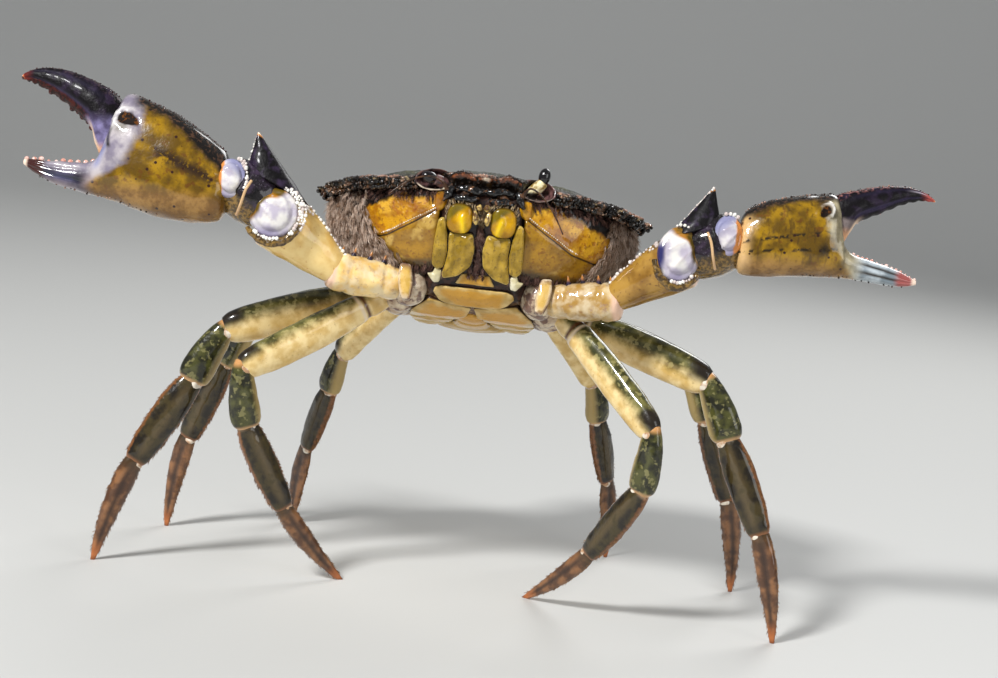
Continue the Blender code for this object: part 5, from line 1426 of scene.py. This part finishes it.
    # A grey patch below the crusher's notch is painted shade of a hollow.
    painted_hollow_shade = heavy * 0.8 * np.exp(-((across - 0.8) / 1.7) ** 2 - ((above + 2.4) / 1.2) ** 2) * facing
    marks = dict(spots(grid), top=np.cos(turn * math.tau), front=turn, heavy=heavy, notch=notch,
                 groove=groove,
                 rim=rim, painted_hollow_shade=painted_hollow_shade)
    attach(shell_mesh("palm_shell_" + word, grid, palm_finish, marks=marks), "claw_palm", "claw_palm_" + word)
    first = int(np.argmax(out[:, 0] > rows["teeth_from"]))
    bite = grid[first + 2:-3, 0] + (0, 0, rows["bead"] * 0.1)
    teeth = bead_rows("palm_teeth_" + word, (bite,), bead_pink, rows["bead_step"], rows["bead"], 0.12)
    attach(teeth, "claw_palm")
    last = int(np.argmax(out[:, 0] > rows["crest_to"]))
    crest = grid[12:last, 0]
    crest_front = grid[12:last, 4]
    crest_beads = (bead_dark, 0.8, 0.2, 0.12) if side < 0 else (bead_finish, 0.7, 0.26, 0.12)
    attach(bead_rows("palm_crest_" + word, (crest, crest_front), *crest_beads), "claw_palm")
    keel = grid[int(np.argmax(out[:, 48] > KEEL_FROM)):-14, 45]
    attach(bead_rows("palm_keel_" + word, (keel,), bead_finish, 1.1, 0.22, 0.3), "claw_palm")

    # Hinged finger: almost black, its tip red and cream, its root lilac white, blunt teeth along its inner
    # edge.
    grid = hand_rings(rows["finger"], side, 90, 52, 0.9)
    turn = np.linspace(0, 1, grid.shape[1], endpoint=False)[None, :]
    along = np.linspace(0, 1, len(grid))[:, None]
    lobes = 0.55 * np.abs(np.sin(along * math.pi * 15)) * limited((along - 0.32) * 8)
    lobes = lobes * limited((0.95 - along) * 6) * hump(turn, 0.5, 0.05) * (1.0 if side < 0 else 0.5)
    # A groove along the finger, which also carries the painted highlight.
    trough_and_painted_highlight = hump(turn, 0.36, 0.030) + 0.3 * hump(turn, 0.17, 0.030)
    trough_and_painted_highlight = trough_and_painted_highlight * limited((along - 0.2) * 5) * limited((0.95 - along) * 5)
    grid = pushed(grid, lobes - 0.40 * trough_and_painted_highlight + lumps(grid, 1.6, 21) * 0.10 * limited((1 - along) * 6))
    marks = dict(spots(grid), top=np.cos(turn * math.tau), along=along, heavy=heavy, trough_and_painted_highlight=trough_and_painted_highlight)
    finger = shell_mesh("finger_shell_" + word, grid, finger_finish, marks=marks)
    attach(finger, "claw_finger", "claw_finger_" + word)
    crest_lines = (grid[16:78, 0], grid[16:74, 3], grid[16:74, -3])
    crest_finish, teeth_finish = (bead_dark, bead_dark) if side < 0 else (bead_finish, bead_pink)
    attach(bead_rows("finger_crest_" + word, crest_lines, crest_finish, 0.75, 0.18, 0.12), "claw_finger")
    bite = grid[32:-6, 26] + (0, 0, rows["bead"] * 0.55)
    wider, smaller = (1.0, 1.0) if side < 0 else (1.3, 0.55)
    teeth = bead_rows("finger_teeth_" + word, (bite,), teeth_finish, rows["bead_step"] * wider,
                      rows["bead"] * smaller, 0.12, seed=2)
    attach(teeth, "claw_finger")


# Walking legs: four pairs, each of a hip piece with the thigh, a wrist piece, a flat shin and a pointed foot,
# joined by hinges with soft white skin. The hind pair ends in a narrow paddle. Their undersides are pale, the
# upper sides mottled olive, and the shins and feet carry ribs and fringes of short hairs.
LEG_LENGTHS = {2: (8, 33, 15, 23.5, 25), 3: (8, 33, 15.5, 24.5, 26.5), 4: (8, 31.5, 14.5, 23, 25),
               5: (7, 25, 12, 18.5, 22)}
LEG_SIZE = {2: 0.94, 3: 1.04, 4: 1.0, 5: 0.9}
LEG_PALE = {-1: {2: 0.75, 3: 0.45, 4: 0.2, 5: 0.2}, 1: {2: 0.35, 3: 0.2, 4: 0.1, 5: 0.1}}
LEG_POSE = {(2, 1): (43, 30, 36, 95), (3, 1): (22, 8, 16, 62), (4, 1): (-12, 5, 20, 62),
            (5, 1): (-44, 12, 48, 72),
            (2, -1): (27, 38, 27, 100), (3, -1): (16, 8, 18, 62), (4, -1): (-14, 5, 20, 62),
            (5, -1): (-42, 12, 48, 72)}
TUCKED_LEGS = (2,)
FOOT_STEEPER = math.radians(13)
JOINT_OVERLAP = 1.6
THIGH = ((0, 2.3, 2.1), (0.06, 3.3, 2.8), (0.15, 3.7, 3.0), (0.205, 3.3, 2.7), (0.26, 3.9, 2.9),
         (0.5, 4.6, 3.0), (0.78, 4.5, 2.9), (0.94, 4.0, 2.7), (1, 3.0, 2.1))
LEG_WRIST = ((0, 1.9, 1.5), (0.14, 2.7, 2.1), (0.4, 3.5, 2.5), (0.76, 4.1, 2.8), (0.93, 3.7, 2.5),
             (1, 2.8, 1.9))
SHIN = ((0, 1.9, 1.4), (0.1, 3.0, 2.1), (0.35, 3.8, 2.4), (0.7, 3.6, 2.2), (0.93, 2.9, 1.8), (1, 2.1, 1.3))
FOOT = ((0, 1.4, 1.1), (0.07, 2.3, 1.6), (0.28, 2.6, 1.6), (0.55, 2.1, 1.3), (0.8, 1.3, 0.9),
        (0.95, 0.7, 0.55), (1, 0.5, 0.45))
PADDLE = ((0, 1.3, 1.0), (0.07, 2.5, 1.1), (0.3, 3.3, 1.1), (0.6, 2.8, 0.9), (0.85, 1.5, 0.7), (1, 0.5, 0.45))


def leg_points(number, side):
    """Joints of a leg from hip to foot, with the foot on the floor."""
    turn, fall_hip, fall_thigh, fall_wrist = (math.radians(a) for a in LEG_POSE[number, side])
    hip_len, thigh_len, wrist_len, shin_len, foot_len = LEG_LENGTHS[number]
    x, y, z = HIPS[number]
    points = [np.array(BODY_PLACE @ (Vector((side * x, y, z)) * MM)) / MM]
    outward_way = np.array((side * math.cos(turn), -math.sin(turn), 0))

    def onward(length, fall):
        points.append(points[-1] + outward_way * length * math.cos(fall)
                      - np.array((0, 0, length * math.sin(fall))))

    for length, fall in ((hip_len, fall_hip), (thigh_len, fall_thigh), (wrist_len, fall_wrist)):
        onward(length, fall)
    straight = shin_len + foot_len * math.cos(FOOT_STEEPER)
    crossed = foot_len * math.sin(FOOT_STEEPER)
    lean = math.asin(points[-1][2] / math.hypot(straight, crossed))
    if number in TUCKED_LEGS:
        lean = math.pi - lean
    fall_shin = lean - math.atan2(crossed, straight)
    onward(shin_len, fall_shin)
    onward(foot_len, fall_shin + FOOT_STEEPER)
    return points


thigh_finish, spot = wet_shell("leg thigh", 0.32, 0.85, 0.05)
along, top, pale = spot.marks("along", "top", "pale")
cloud, fine, veins = spot.mist(3.6, 4), spot.mist(0.8, 3), spot.mist(1.7, 4)
cream = mixed(cloud.step(0.35, 0.65), (244, 218, 158), (214, 178, 104))
cream = mixed(fine.step(0.62, 0.72) * 0.4, cream, (164, 128, 66))
olive = mixed(cloud.step(0.35, 0.62), (112, 108, 58), (58, 58, 26))
olive = mixed(veins.step(0.53, 0.60) * 0.8, olive, (150, 142, 92))
skin = layered(mixed((top + cloud * 0.8 - 0.4 - pale * 0.9).step(-0.45, 0.25), cream, olive),
               ((along + cloud * 0.08).step(0.88, 0.97) * (top - pale).step(-0.6, 0.2), (34, 26, 16)),
               (along.ridge(0.205, 0.022), (96, 58, 34)),
               (along.ridge(0.235, 0.02), (240, 220, 190)),
               (along.step(0.06, 0.0), (226, 188, 150)))
skin.into("Base Color")
(fine * 0.25 + 0.2).into("Roughness")
(cloud * 0.8 + fine * 0.4).raise_surface(0.16)

leg_wrist_finish, spot = wet_shell("leg wrist", 0.34, 0.85, 0.05)
along, top, fine, cloud = spot.mark("along"), spot.mark("top"), spot.mist(0.9, 3), spot.mist(2.6, 4)
olive = layered(mixed(cloud.step(0.36, 0.62), (74, 74, 34), (30, 30, 14)),
                (spot.mist(1.5, 4).step(0.55, 0.62) * 0.7, (132, 126, 80)),
                (top.step(-0.3, -0.9), (176, 152, 94)),
                (along.step(0.12, 0.02), (206, 150, 92)),
                (along.step(0.93, 1.0), (216, 168, 116)))
olive.into("Base Color")
(fine + cloud * 0.5).raise_surface(0.18)

shin_finish, spot = wet_shell("leg shin", 0.34, 0.85, 0.05)
along, top, rib = spot.marks("along", "top", "rib")
fine, cloud = spot.mist(0.9, 3), spot.mist(3.0, 4)
olive = layered(mixed(cloud.step(0.36, 0.62), (62, 52, 24), (24, 18, 8)),
                (rib * cloud.step(0.32, 0.50) * 0.7, (96, 80, 50)),
                ((top.size() + fine * 0.3).step(0.96, 1.14), (128, 80, 40)),
                (along.step(0.08, 0.0), (206, 168, 130)),
                (along.step(0.94, 1.0), (150, 96, 56)))
olive.into("Base Color")
(fine + rib * 0.5).raise_surface(0.18)

foot_finish, spot = wet_shell("leg foot", 0.32, 0.85, 0.05)
along, rib = spot.marks("along", "rib")
fine, cloud = spot.mist(0.8, 3), spot.mist(3.0, 3)
tan = layered(mixed(cloud.step(0.36, 0.62), (142, 98, 62), (86, 56, 36)),
              (rib * 0.9, (46, 28, 18)),
              (along.step(0.20, 0.0), (58, 44, 22)),
              (along.step(0.76, 0.95) * 0.8, (192, 110, 52)),
              (along.step(0.93, 0.99), (120, 62, 26)))
tan.into("Base Color")
(fine * 0.6 + rib).raise_surface(0.2)

hinge_finish, spot = wet_shell("hinge skin", 0.3, 0.85, 0.05)
cloud = spot.mist(1.8, 3)
pearl = mixed(cloud.step(0.38, 0.60), (236, 226, 208), (184, 142, 104))
pearl.into("Base Color")
cloud.raise_surface(0.25)

fringed = {}
for number in HIPS:
    for side, word in SIDES:
        hip, thigh, knee, ankle, heel, toe = leg_points(number, side)
        size = LEG_SIZE[number]
        plane = np.cross(knee - hip, (0, 0, 1))
        rise = unit(np.cross(plane, knee - hip))
        thigh_bow = (thigh - (hip + (knee - hip) * 0.25)) @ rise * 0.5
        toe = toe + unit(toe - heel) * 0.6
        for part, root, end, profile, finish, bow in (
                ("thigh", hip, knee, THIGH, thigh_finish, thigh_bow),
                ("wrist", knee, ankle, LEG_WRIST, leg_wrist_finish, 0.5),
                ("shin", ankle, heel, SHIN, shin_finish, 0.2),
                ("foot", heel, toe, PADDLE if number == 5 else FOOT, foot_finish, 0.8)):
            outer = np.cross(plane, end - root)
            sunk = root - unit(end - root) * JOINT_OVERLAP
            scaled = [(share, height * size, width * size) for share, height, width in profile]
            grid, share = limb(sunk, end, outer, scaled, bow, 54, 40, 0.88)
            turn = full_turn(grid.shape[1])
            ribs = np.abs(np.cos(turn * 2)) ** 6 * (np.abs(np.cos(turn)) < 0.9)
            rib = ribs[None, :] * limited(share * 6)[:, None] * limited((1 - share) * 6)[:, None]
            if part in ("shin", "foot"):
                grid = pushed(grid, (-0.28 if part == "foot" else 0.16) * size * rib)
            relief = lumps(grid, 3.0, number) * 0.14 + lumps(grid, 0.9, number + 9) * 0.05
            grid = pushed(grid, relief * limited((1 - share) * 12)[:, None])
            grid = rounded(grid, 0.22)
            grid[..., 2] = np.maximum(grid[..., 2], 0.0)
            marks = limb_marks(grid, share)
            rib = np.vstack([np.zeros((4, len(turn))), rib, np.zeros((4, len(turn)))])
            obj = shell_mesh("leg%d_%s_shell_%s" % (number, part, word), grid, finish, UPRIGHT,
                             dict(marks, rib=rib, pale=LEG_PALE[side][number]))
            attach(obj, "leg_" + part, "leg%d_%s_%s" % (number, part, word))
            if part in ("shin", "foot"):
                fringed[part, number, side] = grid
        for part, slot, joint, before, radius in (("knee", "leg_thigh", knee, thigh, 2.3),
                                                  ("ankle", "leg_wrist", ankle, knee, 2.1),
                                                  ("heel", "leg_shin", heel, ankle, 1.55)):
            inward = unit(np.cross(plane, joint - before)) * -0.7
            grid = ellipsoid(joint + inward * size, (radius * size,) * 3, 20, 32)
            grid = pushed(grid, lumps(grid, 1.6, number) * 0.2)
            attach(shell_mesh("leg%d_%s_skin_%s" % (number, part, word), grid, hinge_finish, UPRIGHT), slot)


# Hairs: short bristles of horn, each rooted in the shell and stuck together in wet tufts. They form a felt on
# the sides of the cheeks, close the slits round the mouth and eyes, and fringe the shins and feet.
CHEEK_TUFTS = 1500
RIM_TUFTS = 300
HEM_TUFTS = 260
FRINGE_TUFTS = 150
CHEEK_HAIRS_END = 40
HEM_HAIRS_END = 30


def hair_patch(grid, lean, weight, count, seed):
    """Random spots on a grid, more where the weight is larger: points, normals, both ways and unwrap."""
    chance = np.random.default_rng(seed)
    ways = np.gradient(grid, axis=0), np.gradient(grid, axis=1)
    area = np.linalg.norm(np.cross(*ways), axis=2) * weight
    area[:, -1] = 0
    area[-1] = 0
    cell = chance.choice(area.size, count, p=area.ravel() / area.sum())
    i, j = np.unravel_index(cell, area.shape)
    s, t = chance.random((2, count, 1))
    points = grid[i, j] + (grid[i + 1, j] - grid[i, j]) * s + (grid[i, j + 1] - grid[i, j]) * t
    unwrap = np.column_stack([(i + s[:, 0]) / grid.shape[0], (j + t[:, 0]) / grid.shape[1]])
    return points, lean[i, j], unit(ways[0][i, j]), unit(ways[1][i, j]), unwrap


def tufts(name, points, lean, lie, unwrap, material, length, lift=0.5, per_tuft=5, width=0.5,
          thick=0.075, seed=1, place=BODY_PLACE):
    """A mesh of tapered hairs in tufts. They leave the shell by the lean and lie down along the lie."""
    chance = np.random.default_rng(seed)
    count = len(points) * per_tuft
    owner = np.repeat(np.arange(len(points)), per_tuft)
    lengths = (length * chance.uniform(0.7, 1.25, len(points)))[owner] * chance.uniform(0.8, 1.1, count)
    sway = unit(lie + lean * lift + chance.normal(0, 0.16, points.shape))[owner]
    apart = chance.normal(0, width * 0.5, (count, 3))
    apart -= lean[owner] * (apart * lean[owner]).sum(axis=1, keepdims=True)
    start = points[owner] + apart - lean[owner] * 0.15
    end = points[owner] + apart * 0.35 + sway * lengths[:, None]
    end = end + chance.normal(0, 0.10, (count, 3)) * lengths[:, None]
    middle = (start + end) / 2 + lean[owner] * (lengths * 0.22)[:, None]
    across = unit(np.cross(end - start, lean[owner]))
    above = unit(np.cross(across, end - start))
    steps = np.array((0, 0.33, 0.68, 1.0))
    spine = (start[:, None] * ((1 - steps) ** 2)[:, None]
             + middle[:, None] * (2 * steps * (1 - steps))[:, None]
             + end[:, None] * (steps ** 2)[:, None])
    radius = thick * np.array((1.0, 0.9, 0.6, 0.12))
    turn = np.linspace(0, math.tau, 4)[:-1]
    round_it = np.stack([np.cos(turn), np.sin(turn)])[:, None, None, :, None]
    ring = across[:, None, None] * round_it[0] + above[:, None, None] * round_it[1]
    shape = spine[:, :, None] + ring * radius[None, :, None, None]
    corner = np.arange(12).reshape(4, 3)
    after = np.roll(corner, -1, axis=1)
    faces = np.concatenate([np.stack([corner[k], after[k], after[k + 1], corner[k + 1]], axis=1)
                            for k in range(3)])
    faces = (faces[None] + np.arange(count)[:, None, None] * 12).reshape(-1, 4)
    mesh = bpy.data.meshes.new(name)
    mesh.from_pydata(in_world(shape.reshape(-1, 3), place).tolist(), [], faces.tolist())
    shares = np.tile(np.repeat(steps, 3), count)
    mesh.attributes.new("along", "FLOAT", "POINT").data.foreach_set("value", shares)
    tone = np.repeat(chance.random(len(points))[owner] * 0.7 + chance.random(count) * 0.3, 12)
    mesh.attributes.new("tone", "FLOAT", "POINT").data.foreach_set("value", tone)
    spread = np.stack([np.tile(np.linspace(-0.0012, 0.0012, 3), 4), np.repeat(steps - 0.5, 3) * 0.0024],
                      axis=1)
    places = (unwrap[owner][:, None] + spread[None]).reshape(-1, 2)
    layer = mesh.uv_layers.new(name="OFBake")
    layer.data.foreach_set("uv", places[faces.ravel()].ravel())
    mesh.shade_smooth()
    mesh.materials.append(material)
    obj = bpy.data.objects.new(name, mesh)
    bpy.context.scene.collection.objects.link(obj)
    return obj


def hair_finish(name, root, dark_tip, pale_tip):
    material, spot = wet_shell(name, 0.45, 0.35, 0.2)
    tone, along = spot.mark("tone"), spot.mark("along")
    tips = mixed((tone + spot.mist(2.2, 2) * 0.8 - 0.4).step(0.25, 0.75), dark_tip, pale_tip)
    mixed(along.step(0.0, 0.45), root, tips).into("Base Color")
    return material


felt = hair_finish("cheek hairs", (66, 50, 40), (156, 128, 106), (228, 206, 188))
dark_hair = hair_finish("mouth hairs", (30, 18, 16), (66, 44, 42), (126, 94, 82))
pale_hair = hair_finish("pale hairs", (64, 46, 30), (140, 110, 74), (216, 192, 150))
fringe_hair = hair_finish("leg hairs", (52, 34, 18), (112, 74, 40), (178, 132, 84))
for side, word in SIDES:
    grid, lean, down, sideways = flank_grids[side]
    weight = sideways * (down < 1) * (down > 0.02) * (grid[..., 1] < CHEEK_HAIRS_END)
    points, normal, back_way, down_way, unwrap = hair_patch(grid, lean, weight, CHEEK_TUFTS, 5)
    lie = unit(down_way * 0.9 - back_way * 0.7)
    lie = lie - normal * (lie * normal).sum(axis=1, keepdims=True)
    hairs = tufts("cheek_felt_" + word, points, normal, lie, unwrap, felt, 3.0, 0.36, 6, 0.42, 0.075, 6)
    attach(hairs, "cheek")
    crest = limited(1 - np.abs(down - 0.04) / 0.10) * (grid[..., 0]
                                                       * side > 11) * (grid[..., 1] < CHEEK_HAIRS_END)
    points, normal, _, down_way, unwrap = hair_patch(grid, lean, crest * (down < 1), RIM_TUFTS, 7)
    hairs = tufts("rim_hairs_" + word, points, normal, down_way, unwrap, dark_hair, 1.6, 0.4, 6, 0.40, 0.06,
                  8)
    attach(hairs, "cheek")
    hem = limited(1 - np.abs(down - 0.95) / 0.05) * (grid[..., 1] < HEM_HAIRS_END)
    points, normal, _, down_way, unwrap = hair_patch(grid, lean, hem * (down < 1), HEM_TUFTS, 9)
    hairs = tufts("hem_hairs_" + word, points, normal, down_way, unwrap, dark_hair, 1.9, 0.2, 5, 0.5, 0.07,
                  10)
    attach(hairs, "cheek")

slits = ((0.0, 5.0, 17.0, 0.9, 200, dark_hair, 1.8), (0.0, 0.5, 4.5, 1.6, 40, pale_hair, 1.3))
for number, (middle, top_of, foot_of, half, count, finish, length) in enumerate(slits):
    chance = np.random.default_rng(20 + number)
    across = middle + chance.uniform(-half, half, count)
    drop = chance.uniform(top_of, foot_of, count)
    points = face_points(np.column_stack([across, drop]), np.full(count, 0.1))
    lie = unit(FACE_SLOPE * 0.8 - np.sign(across)[:, None] * np.array((0.55, 0, 0)))
    unwrap = np.column_stack([across / 24 + 0.5, drop / 24 + 0.05])
    hairs = tufts("mouth_slit_hairs_%d" % number, points, np.tile(FACE_OUT, (count, 1)), lie, unwrap, finish,
                  length, 0.7, 6, 0.5, 0.075, 30 + number)
    attach(hairs, "mouth")
for side, word in SIDES:
    chance = np.random.default_rng(40)
    edge = np.array(((2.0, 0.4), (4.0, -0.8), (6.6, -0.8), (8.6, 0.8), (8.4, 4.0)))
    line = through(np.column_stack([edge, np.zeros(5)]), 44)[:, :2] + chance.normal(0, 0.3, (44, 2))
    points = face_points(line * (side, 1), np.full(44, 0.6))
    unwrap = line / 24 + 0.3
    lie = np.tile(unit(FACE_SLOPE * 0.5 + np.array((-0.2 * side, 0, 0))), (44, 1))
    hairs = tufts("brow_hairs_" + word, points, np.tile(FACE_OUT, (44, 1)), lie, unwrap, pale_hair, 1.3, 1.0,
                  5, 0.35, 0.05, 41)
    attach(hairs, "mouth")
    line = np.column_stack([np.concatenate([np.full(60, 1.9), np.full(60, 8.1)])
                            + chance.normal(0, 0.15, 120),
                            np.tile(np.linspace(7.5, 17.5, 60), 2)])
    points = face_points(line * (side, 1), np.full(120, 0.9))
    lie = np.tile(unit(FACE_SLOPE + np.array((-0.5 * side, 0, 0))), (120, 1))
    hairs = tufts("plate_edge_hairs_" + word, points, np.tile(FACE_OUT, (120, 1)), lie, line / 24 + 0.1,
                  dark_hair, 1.5, 0.9, 4, 0.35, 0.06, 42)
    attach(hairs, "mouth")

for number in HIPS:
    for side, word in SIDES:
        for part in ("shin", "foot"):
            grid = fringed[part, number, side]
            rows = len(grid)
            lean = outward(grid)
            weight = np.zeros(grid.shape[:2])
            weight[8:int(rows * 0.78), :] = 1
            across = np.abs(np.cos(full_turn(grid.shape[1])))
            weight = weight * (across > 0.97)
            points, normal, onward, _, unwrap = hair_patch(grid, lean, weight, FRINGE_TUFTS, number)
            hairs = tufts("leg%d_%s_fringe_%s" % (number, part, word), points, normal, onward, unwrap,
                          fringe_hair, 0.8, 0.25, 5, 0.30, 0.028, number, UPRIGHT)
            attach(hairs, "leg_" + part)

size = {"cad": cad_bounds, "looks": [list(corner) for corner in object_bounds()]}
